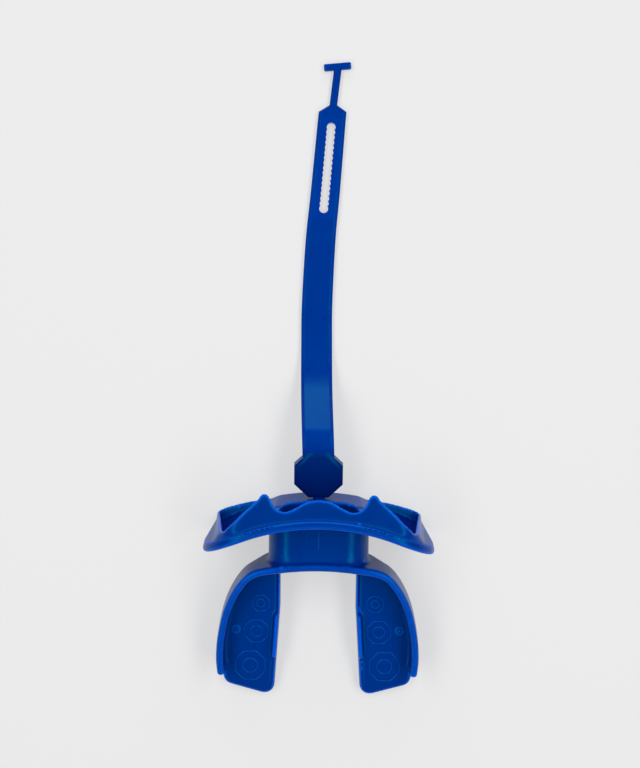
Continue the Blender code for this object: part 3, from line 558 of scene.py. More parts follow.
def arch_half(m):
    """The right half of the tray wall's outer face, seen from above, from the middle to the rear."""
    points = [Vector((x * m.tray.half_width, wall_front(m) - y * m.tray.depth)) for x, y in ARCH_SHAPE]
    mirror = Vector((-points[1].x, points[1].y))
    curve = smooth_curve([mirror] + points, ARCH_CURVE_STEPS)
    return spread(curve[ARCH_CURVE_STEPS:], (m.tray.half_width + m.tray.depth) / ARCH_STEPS)


def arch_front_at(half, x):
    """Y of the wall's outer face at a distance from the middle."""
    return read_curve(half, abs(x))


def make_wall(m):
    """The outer wall of the tooth channel, with the skirt round the airway at the front."""
    tray = m.tray
    line = mirrored(arch_half(m))
    rings = []
    for point, normal in zip(line, outline_normals(line, closed=False)):
        side = soft_step(wall_front(m) - point.y, 0.0, tray.depth * WALL_FALL)
        top = blend(tray.front_height, tray.side_height, side)
        run = soft_step(abs(point.x), tray.skirt_half_width, tray.skirt_half_width + tray.skirt_run_out)
        low = -tray.skirt + (tray.skirt - tray.pad + SINK / 2.0) * run
        corners = ((Vector((0.0, low)), tray.wall * 0.7), (Vector((tray.wall, low)), 0.0),
                   (Vector((tray.wall, top)), tray.wall_edge), (Vector((0.0, top)), tray.wall_edge))
        ring = []
        for place in rounded_outline(corners, WALL_ROUND_STEPS):
            spot = point + normal * place.x
            ring.append(Vector((spot.x, spot.y, place.y)))
        rings.append(ring)
    return loft("wall", rings)


def pad_inner_at(m, y):
    """Distance from the middle to a pad's inner edge."""
    tray = m.tray
    behind = max(wall_front(m) - y - tray.pad_straight, 0.0)
    part = behind / (tray.depth + tray.pad_reach - tray.pad_straight)
    return blend(tray.pad_inner_front, tray.pad_inner_rear, part)


def pad_outline(m):
    """The right pad seen from above, reaching a little way into the wall."""
    tray = m.tray
    half = arch_half(m)
    edge = inset_line(half, tray.wall - tray.pad_seat)
    edge = [p for p in edge if p.x > tray.pad_inner_front + tray.pad_seat]
    rear = wall_front(m) - tray.depth - tray.pad_reach
    inner_rear = Vector((tray.pad_inner_rear, rear))
    outer = edge[-1].x
    outer_rear = Vector((outer, rear + (outer - tray.pad_inner_rear) * math.tan(tray.pad_slant)))
    front = Vector((tray.pad_inner_front, arch_front_at(half, tray.pad_inner_front) - tray.wall / 2.0))
    bend = Vector((tray.pad_inner_front, wall_front(m) - tray.pad_straight))
    corners = [(front, 0.0)] + [(p, 0.0) for p in edge]
    corners += [(outer_rear, tray.pad_corner), (inner_rear, tray.pad_corner), (bend, 0.0)]
    return rounded_outline(corners, ROUND_STEPS)


def make_slab(name, outline, low, high, edge):
    """An upright slab of the outline with eased upper and lower edges."""
    layers = ((edge, low), (edge * 0.3, low + edge * 0.3), (0.0, low + edge), (0.0, high - edge),
              (edge * 0.13, high - edge * 0.5), (edge * 0.5, high - edge * 0.13), (edge, high))
    rings = [at_height(inset_line(outline, inset, closed=True), height) for inset, height in layers]
    return loft(name, rings)


def make_ridge(m, name, start, run, width, height):
    """A low ridge along a pad's inner edge."""
    rings = []
    steps = 2 * ROUND_STEPS
    for k in range(steps + 1):
        y = start - run * k / steps
        foot = pad_inner_at(m, y)
        top = height * (0.75 if k in (0, steps) else 1.0)
        profile = ((SINK / 2.0, -SINK * 2.0), (SINK / 2.0, top * 0.8), (SINK, top), (width * 0.8, top),
                   (width, top * 0.8), (width, -SINK * 2.0))
        rings.append([Vector((foot + x, y, z)) for x, z in profile])
    return loft(name, rings)


def make_pad(m):
    """The right bite pad with its inner ridge and raised tab."""
    tray = m.tray
    pad = make_slab("pad", pad_outline(m), -tray.pad, 0.0, tray.pad_edge)
    front = wall_front(m) - tray.wall * 0.8
    rear_stop = tray.depth + tray.pad_reach - tray.pad_corner - tray.wall * 0.8
    ridge = make_ridge(m, "ridge", front, rear_stop, tray.ridge_width, tray.ridge_height)
    tab = make_ridge(m, "tab", wall_front(m) - tray.tab_start, tray.tab_length, tray.tab_width,
                     tray.tab_height)
    combine(pad, ridge, "UNION")
    combine(pad, tab, "UNION")
    return pad


def stadium(width, height, grow=0.0, grow_side=0.0):
    """A flat oval of round ends about the origin, as (x, z) points."""
    radius = height / 2.0
    flat = width / 2.0 - radius
    points = []
    for side in (1, -1):
        for k in range(OVAL_STEPS + 1):
            turn = side * math.pi / 2.0 - math.pi * k / OVAL_STEPS
            x = side * flat + (radius + grow_side) * math.cos(turn)
            points.append((x, (radius + grow) * math.sin(turn)))
    return points


def plate_back(m, x):
    """Y of the lip guard's back face, curved round the face."""
    return math.sqrt(max(m.plate.radius ** 2 - x ** 2, 0.0)) - m.plate.radius


def plate_front(m, x):
    """Y of the lip guard's front face."""
    bend = m.plate.radius / math.sqrt(m.plate.radius ** 2 - x ** 2)
    return plate_back(m, x) + m.plate.thickness * bend


def flare_at(distance, reach, most):
    """How much a form widens at a distance from its end: a quarter round of the given reach."""
    near = max(1.0 - distance / reach, 0.0)
    return most * (1.0 - math.sqrt(max(1.0 - near * near, 0.0)))


def make_neck(m):
    """The oval neck between the lip guard and the tray, flared at both ends."""
    neck = m.neck
    half = arch_half(m)
    into_plate = m.plate.thickness / 2.0
    into_wall = m.tray.wall / 2.0
    reach = neck.length + into_plate + into_wall
    rings = []
    for k in range(NECK_STEPS + 1):
        part = k / NECK_STEPS
        from_plate = max(reach * part - into_plate, 0.0)
        from_wall = max(reach * (1.0 - part) - into_wall, 0.0)
        flare = flare_at(from_wall, neck.flare_length, neck.flare)
        flare += flare_at(from_plate, neck.flare_length / 2.0, neck.flare / 2.0)
        ring = []
        for x, z in stadium(neck.width, neck.height, flare, flare / 4.0):
            start = plate_back(m, x) + into_plate
            end = arch_front_at(half, x) - into_wall
            ring.append(Vector((x, blend(start, end, part), z)))
        rings.append(ring)
    return loft("neck", rings)


def make_duct(m):
    """Cutter for the airway, from the mouth in the lip guard to the inside of the tray."""
    neck = m.neck
    front = m.plate.thickness + m.plate.chin_rise
    ease = neck.duct_round
    taper = (neck.duct_rear_width - neck.duct_width) / 2.0
    stations = ((front + DUCT_CUT_REACH, ease * 1.5), (front, ease), (front - ease * 0.15, ease * 0.65),
                (front - ease * 0.4, ease * 0.35), (front - ease * 0.8, ease * 0.1),
                (front - ease * 1.3, 0.0), (wall_front(m) - m.tray.wall * 2.0, 0.0))
    rings = []
    for y, grow in stations:
        side = taper if y < wall_front(m) else grow
        oval = stadium(neck.duct_width, neck.duct_height, grow, side)
        rings.append([Vector((x, y, z)) for x, z in oval])
    return loft("duct", rings)


def plate_outline(m, gap=OUTLINE_GAP):
    """The lip guard's outline seen from the front, as (x, z), clockwise."""
    plate = m.plate
    corners = ((Vector((-plate.half_top, plate.top)), plate.top_corner),
               (Vector((plate.half_top, plate.top)), plate.top_corner),
               (Vector((plate.half_bottom, -plate.bottom)), plate.bottom_corner),
               (Vector((-plate.half_bottom, -plate.bottom)), plate.bottom_corner))
    ring = rounded_outline(corners, 2 * ROUND_STEPS)
    ring.append(ring[0].copy())
    return spread(ring, gap)[:-1]


def bent(m, x, part, z):
    """A point of the plate: a share of the way from its back face to its front face."""
    return Vector((x, blend(plate_back(m, x), plate_front(m, x), part), z))


def bent_solid(m, name, lines):
    """A solid that follows the curve of the plate: outlines given with their shares of its thickness."""
    form = bmesh.new()
    rows = add_skin(form, [[bent(m, p.x, part, p.y) for p in line] for line, part in lines])
    for row in (rows[0], rows[-1]):
        close_middle(form, row)
    return new_object(name, form)


def make_plate(m):
    """The curved lip plate with a stepped, rounded rim."""
    step = m.plate.rim_step
    ease = m.plate.rim_round
    outline = plate_outline(m)
    profile = ((ease, 0.0), (ease * 0.3, 0.09), (0.0, 0.3), (0.0, 0.44), (step, 0.7),
               (step, 0.84), (step + ease * 0.5, 1.0))
    lines = [(inset_line(outline, inset, closed=True), part) for inset, part in profile]
    middle = [p * m.plate.field for p in outline]
    return bent_solid(m, "plate", [(middle, 0.0)] + lines + [(middle, 1.0)])


def close_middle(form, row):
    """Close the middle of a face with upright strips between its upper and lower halves."""
    count = len(row)
    order = sorted(range(count), key=lambda i: row[i].co.x)
    left, right = order[0], order[-1]
    one = [row[(left + k) % count] for k in range((right - left) % count + 1)]
    two = [row[(left - k) % count] for k in range((left - right) % count + 1)]
    i = j = 0
    while i < len(one) - 1 or j < len(two) - 1:
        step_one = j == len(two) - 1 or (i < len(one) - 1 and one[i + 1].co.x <= two[j + 1].co.x)
        corner = one[i + 1] if step_one else two[j + 1]
        if len({one[i], two[j], corner}) == 3:
            form.faces.new((one[i], two[j], corner))
        if step_one:
            i += 1
        else:
            j += 1


def pocket_side(m, z):
    """Distance from the middle to the recesses' slanted inner sides."""
    plate = m.plate
    part = (plate.top - z) / (plate.top + plate.bottom)
    return blend(plate.pocket_side_top, plate.pocket_side_bottom, part)


def make_pocket(m):
    """Cutter for the recess in the right half of the plate's front, which ends under the visor's path."""
    plate = m.plate
    path = visor_line(m)
    high, low = path[0].y, path[-1].y
    path = [p for p in path if p.x > pocket_side(m, p.y) + plate.pocket_slope + SINK]
    layers = ((plate.pocket_slope, -plate.pocket_depth), (0.0, 0.0), (0.0, plate.pocket_cut_reach))
    lines = []
    for inset, front in layers:
        first = Vector((pocket_side(m, high) + inset, high))
        last = Vector((pocket_side(m, low) + inset, low))
        lines.append(([first] + path + [last], 1.0 + front / plate.thickness))
    return bent_solid(m, "pocket", lines)


def make_chin(m):
    """The raised face below the airway's mouth, with sloping sides, from which the strap leaves."""
    plate = m.plate
    bottom = -plate.bottom + plate.rim_step + plate.rim_round * 0.4
    top = -m.neck.duct_height * 0.35
    rise = plate.chin_rise
    rings = []
    for z, lift in ((bottom, rise * 0.4), (bottom + plate.rim_round, rise), (top, rise * 0.4)):
        part = (z - bottom) / (top - bottom)
        half = blend(plate.chin_half_bottom, plate.chin_half_top, part)
        side = pocket_side(m, z) + SINK
        across = [half * (2.0 * k / CHIN_STEPS - 1.0) for k in range(CHIN_STEPS + 1)]
        edge = plate_front(m, side) - SINK / 3.0
        front = [Vector((-side, edge, z))]
        front.extend(Vector((x, plate_front(m, x) + lift, z)) for x in across)
        front.append(Vector((side, edge, z)))
        back = [Vector((p.x, plate_back(m, p.x) + plate.thickness / 2.0, z)) for p in reversed(front)]
        rings.append(front + back)
    return loft("chin", rings)


def visor_line(m):
    """The path of the visor, side wall and lower ledge on the plate, right half, as (x, z)."""
    plate = m.plate
    visor = m.visor
    top = plate.top - visor.inset
    inset = plate.rim_step + visor.edge * 0.75
    foot = Vector((plate.half_bottom - inset, -plate.bottom + inset))
    end = Vector((visor.ledge_end, foot.y))
    corners = ((Vector((0.0, top)), 0.0), (Vector((visor.half_width, top)), visor.corner),
               (foot, plate.bottom_corner), (end, 0.0))
    return spread(rounded_outline(corners, ROUND_STEPS, closed=False), VISOR_GAP)


def visor_crest(m, wave, point, foot):
    """How far forward the crest stands at a point of the visor's path."""
    face = plate_front(m, point.x)
    visor = m.visor
    top = m.plate.top - visor.inset
    across = abs(point.x)
    if point.y > top - visor.corner * 0.5 and across < VISOR_WAVE[-1][0] * MM:
        return max(face + visor.side_rise, read_curve(wave, across))
    if point.y > foot:
        down = min(max((top - point.y) / (top - foot), 0.0), 1.0)
        return face + visor.side_rise + (visor.foot_rise - visor.side_rise) * down
    run = (across - visor.ledge_end) / (m.plate.half_bottom - visor.ledge_end)
    return face + visor.foot_rise * min(max(run, LEDGE_SHARE), 1.0)


def make_visor(m):
    """The wavy visor over the lips, carried on as walls down both sides and a ledge along the bottom."""
    visor = m.visor
    plate = m.plate
    outline = plate_outline(m)
    wave = smooth_curve([Vector((x * MM, y * MM)) for x, y in VISOR_WAVE], CURVE_STEPS)
    line = mirrored(visor_line(m))
    foot = line[-1].y + plate.bottom_corner
    half = visor.edge / 2.0
    rings = []
    for point, normal in zip(line, outline_normals(line, closed=False)):
        face = plate_front(m, point.x)
        crest = visor_crest(m, wave, point, foot)
        rise = crest - face
        height = (point.y + plate.bottom) / (plate.top + plate.bottom)
        side = soft_step(abs(point.x), visor.half_width * 0.7, visor.half_width) * height
        room = min((point - p).length for p in outline) - plate.rim_step - half
        fillet = max(min(visor.root_fillet + side * visor.side_slope, room), plate.rim_step * 0.4)
        root = face - plate.thickness * 0.7
        ease = min(half * 0.7, rise * 0.4)
        thick = min(visor.root * 0.1, fillet * 0.3)
        profile = ((half + fillet, root), (half + fillet, face - SINK / 3.0),
                   (half + fillet * 0.35, face + min(fillet, rise) * 0.35),
                   (half + thick, face + min(fillet * 1.3, rise - ease * 1.3)),
                   (half, crest - ease), (half * 0.7, crest - ease * 0.3), (half * 0.3, crest),
                   (-half * 0.3, crest), (-half * 0.7, crest - ease * 0.3), (-half, crest - ease),
                   (-half - visor.root * 0.2, face), (-half - visor.root * 0.3, root))
        ring = []
        for offset, y in profile:
            spot = point - normal * offset
            shift = plate_front(m, spot.x) - face if y <= face else 0.0
            ring.append(Vector((spot.x, y + shift, spot.y)))
        rings.append(ring)
    return loft("visor", rings)


def soften(m, solid):
    """One skin over the joined forms, with the small fillets that a mould leaves in every corner."""
    skin = solid.modifiers.new("skin", "REMESH")
    skin.mode = "VOXEL"
    skin.voxel_size = m.rubber.fillet_grid
    skin.adaptivity = 0.0
    ease = solid.modifiers.new("fillets", "SMOOTH")
    ease.factor = 0.5
    ease.iterations = m.rubber.fillet_passes
    apply_modifiers(solid)
    count = sum(len(face.vertices) - 2 for face in solid.data.polygons)
    if count > m.rubber.triangles:
        thin = solid.modifiers.new("thin", "DECIMATE")
        thin.ratio = m.rubber.triangles / count
        apply_modifiers(solid)
    if not solid.data.polygons:
        raise RuntimeError("the moulding came out empty")


def resting_pitch(m, guard):
    """The pitch at which the lip guard's lower edge and the pads' rear ends touch one plane."""
    points = [v.co.copy() for v in guard.data.vertices]
    middle = wall_front(m) - m.tray.depth / 2.0
    low, high = 0.0, STEEPEST_PITCH
    for _ in range(PITCH_ROUNDS):
        pitch = (low + high) / 2.0
        rise, run = math.sin(pitch), math.cos(pitch)
        front = min(p.y * rise + p.z * run for p in points if p.y > middle)
        rear = min(p.y * rise + p.z * run for p in points if p.y <= middle)
        if front < rear:
            low = pitch
        else:
            high = pitch
    return pitch, min(front, rear)


def guard_place(m, guard):
    """The matrix that lays the guard on the table, with its rear where the solid model has it."""
    pitch, lowest = resting_pitch(m, guard)
    turn = Matrix.Rotation(pitch, 4, "X")
    rear = min((turn @ v.co).y for v in guard.data.vertices)
    return Matrix.Translation((0.0, CAD_BOX[0].y - rear, -lowest)) @ turn


def build_guard(m):
    """Tray, neck and lip guard as one solid in the guard's own frame."""
    guard = make_wall(m)
    right = make_pad(m)
    left = mirror_solid(right, "pad_left")
    for form in (right, left, make_neck(m), make_plate(m), make_chin(m)):
        combine(guard, form, "UNION")
    pocket = make_pocket(m)
    for cutter in (mirror_solid(pocket, "pocket_left"), pocket):
        combine(guard, cutter, "DIFFERENCE")
    combine(guard, make_duct(m), "DIFFERENCE")
    absorb(guard, make_visor(m))
    return guard


def strap_path(m):
    """The strap's middle line from the side, as (y, z), from the chin to the table and along it."""
    strap = m.strap
    half = strap.thickness / 2.0
    octagon = Vector((strap.octagon_forward, strap.octagon_height))
    up = Vector((math.cos(strap.rise), math.sin(strap.rise)))
    run = strap.octagon / 2.0 + strap.stem_reach
    start = octagon - up * run
    crest = octagon + up * (run + strap.crest_reach)
    foot = Vector((crest.x + (crest.y - half) / math.tan(strap.fall), half))
    end = Vector((strap.octagon_forward + strap.length, half))
    corners = ((start, 0.0), (crest, strap.crest_radius), (foot, strap.foot_radius), (end, 0.0))
    return rounded_outline(corners, 2 * ROUND_STEPS, closed=False)


def strap_sway():
    """How far the strap wanders sideways on the table, read at its distance forward."""
    points = [Vector((0.0, 0.0))] + [Vector((y * MM, x * MM)) for y, x in STRAP_SWAY]
    return smooth_curve(points, CURVE_STEPS)


def shoulder_start(m):
    """Y at which the strap's shoulders begin."""
    strap = m.strap
    return strap.octagon_forward + strap.length - strap.tail_length - strap.shoulder - strap.bar_width / 2.0


def strap_width(m, y):
    """The strap's width along its length, from its stem to its tail."""
    strap = m.strap
    octagon_front = strap.octagon_forward + strap.octagon / 2.0 * math.cos(strap.rise)
    shoulder = shoulder_start(m)
    if y < strap.octagon_forward:
        return strap.stem_width
    if y <= shoulder:
        part = max((y - octagon_front) / (shoulder - octagon_front), 0.0)
        return blend(strap.width, strap.end_width, part ** 2)
    part = min((y - shoulder) / strap.shoulder, 1.0)
    return blend(strap.end_width, strap.tail_width, part)


def strap_section(strap, wide):
    """The strap's section, as (across, up), with chamfered upper edges and rounded lower ones."""
    half = strap.thickness / 2.0
    flat = wide - min(strap.chamfer, wide / 2.0)
    side = half - strap.chamfer_drop
    ease = strap.bevel * 0.4
    corners = ((-wide, -half, strap.bevel), (-wide, side, ease), (-flat, half, ease),
               (flat, half, ease), (wide, side, ease), (wide, -half, strap.bevel))
    return rounded_outline([(Vector((x, z)), radius) for x, z, radius in corners], STRAP_ROUND_STEPS)


def make_strap_strip(m):
    """The strap as one long solid."""
    strap = m.strap
    corner_line = strap_path(m)
    path = []
    for a, b in zip(corner_line, corner_line[1:]):
        path.extend(spread([a, b], STRAP_GAP)[:-1] if (b - a).length > STRAP_GAP else [a])
    path.append(corner_line[-1])
    stops = (strap.octagon_forward - STEM_STEP, strap.octagon_forward, shoulder_start(m),
             shoulder_start(m) + strap.shoulder)
    for stop in stops:
        for i in range(len(path) - 1):
            if path[i].x < stop < path[i + 1].x:
                part = (stop - path[i].x) / (path[i + 1].x - path[i].x)
                path.insert(i + 1, path[i].lerp(path[i + 1], part))
                break
    sway = strap_sway()
    rings = []
    for point, normal in zip(path, outline_normals(path, closed=False)):
        x = read_curve(sway, point.x)
        ring = []
        for place in strap_section(strap, strap_width(m, point.x) / 2.0):
            spot = point - normal * place.y
            ring.append(Vector((x + place.x, spot.x, spot.y)))
        rings.append(ring)
    return loft("strip", rings)


def octagon_points(middle, flats, height):
    """Eight corners of a level octagon."""
    corner = flats / math.cos(math.pi / 8.0)
    return [around(middle, corner, math.pi / 8.0 + k * math.pi / 4.0, height) for k in range(8)]


def octagon_place(m):
    """The matrix that sets the octagon plate on the strap."""
    strap = m.strap
    x = read_curve(strap_sway(), strap.octagon_forward)
    place = Vector((x, strap.octagon_forward, strap.octagon_height))
    return Matrix.Translation(place) @ Matrix.Rotation(strap.rise, 4, "X")


def make_octagon(m):
    """The octagonal plate on the strap, with a sloping border round its plain field."""
    strap = m.strap
    half = strap.octagon_thickness / 2.0
    ease = strap.octagon_ease
    layers = ((ease, -half), (0.0, -half + ease), (0.0, half - strap.octagon_drop - ease),
              (ease, half - strap.octagon_drop), (strap.octagon_border - ease, half - ease * 0.3),
              (strap.octagon_border + ease, half))
    rings = [octagon_points(Vector((0.0, 0.0)), strap.octagon / 2.0 - inset, z) for inset, z in layers]
    octagon = loft("octagon", rings)
    octagon.data.transform(octagon_place(m))
    return octagon


def polish_and_shade_octagon(m, strap):
    """Give the octagon its polished skin, painted darker as painted shade, all but its underside."""
    strap.data.materials.append(polished_shaded_rubber(m))
    back = octagon_place(m).inverted()
    low = m.strap.octagon_ease - m.strap.octagon_thickness / 2.0
    reach = m.strap.octagon / 2.0 + WELD
    flats = [Vector((math.cos(k * math.pi / 4.0), math.sin(k * math.pi / 4.0))) for k in range(8)]
    for face in strap.data.polygons:
        spot = back @ face.center
        if spot.z > low and all(spot.xy.dot(flat) < reach for flat in flats):
            face.material_index = 1


def make_slot(m):
    """Cutter for the scalloped slot: a row of round holes that run into each other."""
    strap = m.strap
    radius = strap.hole_width / 2.0
    waist = math.asin(min(strap.hole_pitch / 2.0 / radius, 1.0))
    middle = shoulder_start(m) - strap.slot_from_end
    sway = strap_sway()
    right, left = [], []
    for i in range(strap.holes):
        y = middle + (i - (strap.holes - 1) / 2.0) * strap.hole_pitch
        centre = Vector((read_curve(sway, y), y))
        start = -math.pi / 2.0 if i == 0 else -waist
        end = math.pi / 2.0 if i == strap.holes - 1 else waist
        steps = HOLE_END_STEPS if i in (0, strap.holes - 1) else HOLE_STEPS
        for k in range(1 if i else 0, steps + 1):
            turn = start + (end - start) * k / steps
            right.append(centre + Vector((math.cos(turn), math.sin(turn))) * radius)
            left.append(centre + Vector((-math.cos(turn), math.sin(turn))) * radius)
    outline = right + list(reversed(left[1:-1]))
    heights = (-SLOT_CUT_REACH, strap.thickness + SLOT_CUT_REACH)
    return loft("slot", [at_height(outline, height) for height in heights])


def make_bar(m):
    """The cross bar on the strap's tail."""
    strap = m.strap
    y = strap.octagon_forward + strap.length
    middle = Vector((read_curve(strap_sway(), y), y))
    ease = strap.bevel
    layers = ((ease, 0.0), (ease * 0.3, ease * 0.3), (0.0, ease), (0.0, strap.thickness - ease),
              (ease * 0.3, strap.thickness - ease * 0.3), (ease, strap.thickness))
    turn = Matrix.Rotation(strap.bar_turn, 2)
    rings = []
    for inset, height in layers:
        wide = strap.bar_length / 2.0 - inset
        deep = strap.bar_width / 2.0 - inset
        corners = ((-wide, -deep), (-wide, deep), (wide, deep), (wide, -deep))
        outline = rounded_outline([(Vector(place), strap.bar_corner) for place in corners], BAR_ROUND_STEPS)
        rings.append(at_height([turn @ p + middle for p in outline], height))
    return loft("bar", rings)


def add_grip_ring(form, middle, radius, m):
    """One raised octagon line with a rounded top."""
    line = m.marks.ring_line
    high = m.marks.ring_height
    layers = ((0.0, -SINK), (0.0, high * 0.4), (line * 0.2, high * 0.85), (line * 0.5, high),
              (line * 0.8, high * 0.85), (line, high * 0.4), (line, -SINK))
    rings = [octagon_points(middle, radius - inset, z) for inset, z in layers]
    add_loft(form, rings, closed=True)


def add_round(form, middle, layers):
    """A turned form: layers of (radius, height) about an upright axis."""
    turns = [2.0 * math.pi * k / TURN_STEPS for k in range(TURN_STEPS)]
    add_loft(form, [[around(middle, radius, turn, height) for turn in turns] for radius, height in layers])


def add_node(tree, kind, place, settings=(), inputs=(), links=()):
    """A shader node with its settings, its input values and the sockets linked into it."""
    node = tree.nodes.new(kind)
    node.location = place
    for name, value in settings:
        setattr(node, name, value)
    for name, value in inputs:
        node.inputs[name].default_value = value
    for name, socket in links:
        tree.links.new(socket, node.inputs[name])
    return node


def empty_material(name):
    material = bpy.data.materials.new(name)
    material.use_nodes = True
    material.node_tree.nodes.clear()
    return material, material.node_tree


def moulded_rubber(m, name, skin, rim):
    """Injection moulded thermoplastic rubber.

    It is dyed through and comes off a lightly spark-eroded mould, so the eye sees a deep even blue with a
    soft satin sheen, a very fine grain and faint flow marks, and no hard reflections. The rubber is a little
    translucent; its rounded edges and rims are painted a lighter blue, a painted highlight that stands in for
    the light such edges take in from their sides.
    """
    if name in bpy.data.materials:
        return bpy.data.materials[name]
    rubber = m.rubber
    material, tree = empty_material(name)
    where = add_node(tree, "ShaderNodeTexCoord", (-1100, 0)).outputs["Object"]
    flow = add_node(tree, "ShaderNodeTexNoise", (-850, 200),
                    inputs=(("Scale", 1.0 / rubber.flow), ("Detail", 3.0), ("Roughness", 0.5)),
                    links=(("Vector", where),))
    # The real grain is about 0.05 mm: it is drawn coarser, so that it shows
    grain = add_node(tree, "ShaderNodeTexNoise", (-850, -250),
                     inputs=(("Scale", 1.0 / rubber.grain), ("Detail", 2.0), ("Roughness", 0.6)),
                     links=(("Vector", where),))
    # A Mix node keeps its two colours in sockets 6 and 7 and gives the colour from socket 2
    tone = add_node(tree, "ShaderNodeMix", (-550, 250), settings=(("data_type", "RGBA"),),
                    inputs=((6, (*(part * rubber.flow_dark for part in skin), 1.0)), (7, (*skin, 1.0))),
                    links=((0, flow.outputs["Fac"]),))
    # Pointiness is 0.5 on a flat skin and more on a rounded edge, where the rim colour is mixed in as a
    # painted highlight
    bend = add_node(tree, "ShaderNodeNewGeometry", (-850, 500))
    edge = add_node(tree, "ShaderNodeMapRange", (-550, 500),
                    inputs=(("From Min", rubber.rim_light_start), ("From Max", rubber.rim_light_full)),
                    links=(("Value", bend.outputs["Pointiness"]),))
    lit = add_node(tree, "ShaderNodeMix", (-350, 350), settings=(("data_type", "RGBA"),),
                   inputs=((7, (*rim, 1.0)),),
                   links=((0, edge.outputs["Result"]), (6, tone.outputs[2])))
    sheen = add_node(tree, "ShaderNodeMapRange", (-550, 0),
                     inputs=(("From Min", NOISE_LOW), ("From Max", NOISE_HIGH),
                             ("To Min", rubber.roughness - rubber.roughness_spread),
                             ("To Max", rubber.roughness + rubber.roughness_spread)),
                     links=(("Value", flow.outputs["Fac"]),))
    bump = add_node(tree, "ShaderNodeBump", (-550, -250),
                    inputs=(("Strength", 1.0), ("Distance", rubber.grain_height)),
                    links=(("Height", grain.outputs["Fac"]),))
    shader = add_node(tree, "ShaderNodeBsdfPrincipled", (-200, 100),
                      inputs=(("IOR", rubber.ior), ("Metallic", 0.0), ("Specular Tint", (*rubber.shine, 1.0)),
                              ("Specular IOR Level", rubber.satin_shine)),
                      links=(("Base Color", lit.outputs[2]), ("Roughness", sheen.outputs["Result"]),
                             ("Normal", bump.outputs["Normal"])))
    add_node(tree, "ShaderNodeOutputMaterial", (100, 100), links=(("Surface", shader.outputs["BSDF"]),))
    return material


def polished_shaded_rubber(m):
    """The same rubber where the mould is polished, painted a deeper blue as painted shade.

    With no grain to scatter the light it shows a faint shine; the deeper blue stands in for the shade that
    the octagon lies in.
    """
    rubber = m.rubber
    material, tree = empty_material("polished_rubber_painted_shade")
    shader = add_node(tree, "ShaderNodeBsdfPrincipled", (-200, 100),
                      inputs=(("Base Color", (*rubber.shaded_polish, 1.0)), ("Roughness", rubber.polish_roughness),
                              ("IOR", rubber.ior), ("Metallic", 0.0), ("Specular Tint", (*rubber.shine, 1.0)),
                              ("Specular IOR Level", rubber.polish_shine)))
    add_node(tree, "ShaderNodeOutputMaterial", (100, 100), links=(("Surface", shader.outputs["BSDF"]),))
    return material


def coarse_shaded_rubber(m):
    """The same rubber in the recesses, where the mould is spark-eroded coarsely, painted a darker blue as
    painted shade.

    The grain breaks up every reflection, so the eye sees plain dark blue also where it looks along the face;
    that darker blue stands in for the shade under the visor.
    """
    rubber = m.rubber
    material, tree = empty_material("coarse_rubber_painted_shade")
    shader = add_node(tree, "ShaderNodeBsdfPrincipled", (-200, 100),
                      inputs=(("Base Color", (*rubber.shaded_coarse, 1.0)), ("Roughness", rubber.coarse_roughness),
                              ("IOR", rubber.coarse_ior), ("Metallic", 0.0),
                              ("Specular Tint", (*rubber.shine, 1.0)),
                              ("Specular IOR Level", rubber.coarse_shine)))
    add_node(tree, "ShaderNodeOutputMaterial", (100, 100), links=(("Surface", shader.outputs["BSDF"]),))
    return material


def matt_card(m):
    """Uncoated white card.

    Its surface is rough pulp, so it has no gloss: the eye sees one even pale tone with soft shadows. Part of
    the tone is its own, as on an overexposed table, so the shadows stay as faint as in a studio.
    """
    material, tree = empty_material("matt_white_card")
    tone = (*m.stage.floor, 1.0)
    diffuse = add_node(tree, "ShaderNodeBsdfDiffuse", (-400, 100), inputs=(("Color", tone),))
    glow = add_node(tree, "ShaderNodeEmission", (-400, -100), inputs=(("Color", tone), ("Strength", 1.0)))
    path = add_node(tree, "ShaderNodeLightPath", (-1000, 300)).outputs
    seen = path["Is Camera Ray"]
    for x, ray in ((-800, "Is Glossy Ray"), (-600, "Is Transmission Ray")):
        either = add_node(tree, "ShaderNodeMath", (x, 300), settings=(("operation", "MAXIMUM"),),
                          links=((0, seen), (1, path[ray])))
        seen = either.outputs["Value"]
    amount = add_node(tree, "ShaderNodeMath", (-400, 300), settings=(("operation", "MULTIPLY"),),
                      inputs=((1, m.stage.floor_glow),), links=((0, seen),))
    mix = add_node(tree, "ShaderNodeMixShader", (-150, 100),
                   links=(("Fac", amount.outputs["Value"]), (1, diffuse.outputs["BSDF"]),
                          (2, glow.outputs["Emission"])))
    add_node(tree, "ShaderNodeOutputMaterial", (100, 100), links=(("Surface", mix.outputs["Shader"]),))
    return material


def dress(m, piece, material=None):
    """Smooth shading, the rubber, and the piece's place in the model."""
    piece.data.materials.clear()
    rubber = m.rubber
    # The guard's skin carries a painted highlight on its rounded edges
    material = material or moulded_rubber(m, "satin_moulded_rubber", rubber.skin, rubber.rim_light_tone)
    piece.data.materials.append(material)
    piece.data.shade_smooth()
    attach(piece, CAD_BODY)
    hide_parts(CAD_NODE)


def shade_and_coarsen_pockets(m, guard):
    """Give the two recesses' floors their coarse, darker painted-shade skin: the faces that look forward from
    inside them.
    """
    guard.data.materials.append(coarse_shaded_rubber(m))
    plate = m.plate
    edge = plate.rim_step
    for face in guard.data.polygons:
        spot = face.center
        sunk = plate_front(m, spot.x) - spot.y
        inside = abs(spot.x) > pocket_side(m, spot.z) and edge < sunk < plate.thickness - edge
        if inside and face.normal.y > FLOOR_FACING:
            face.material_index = 1


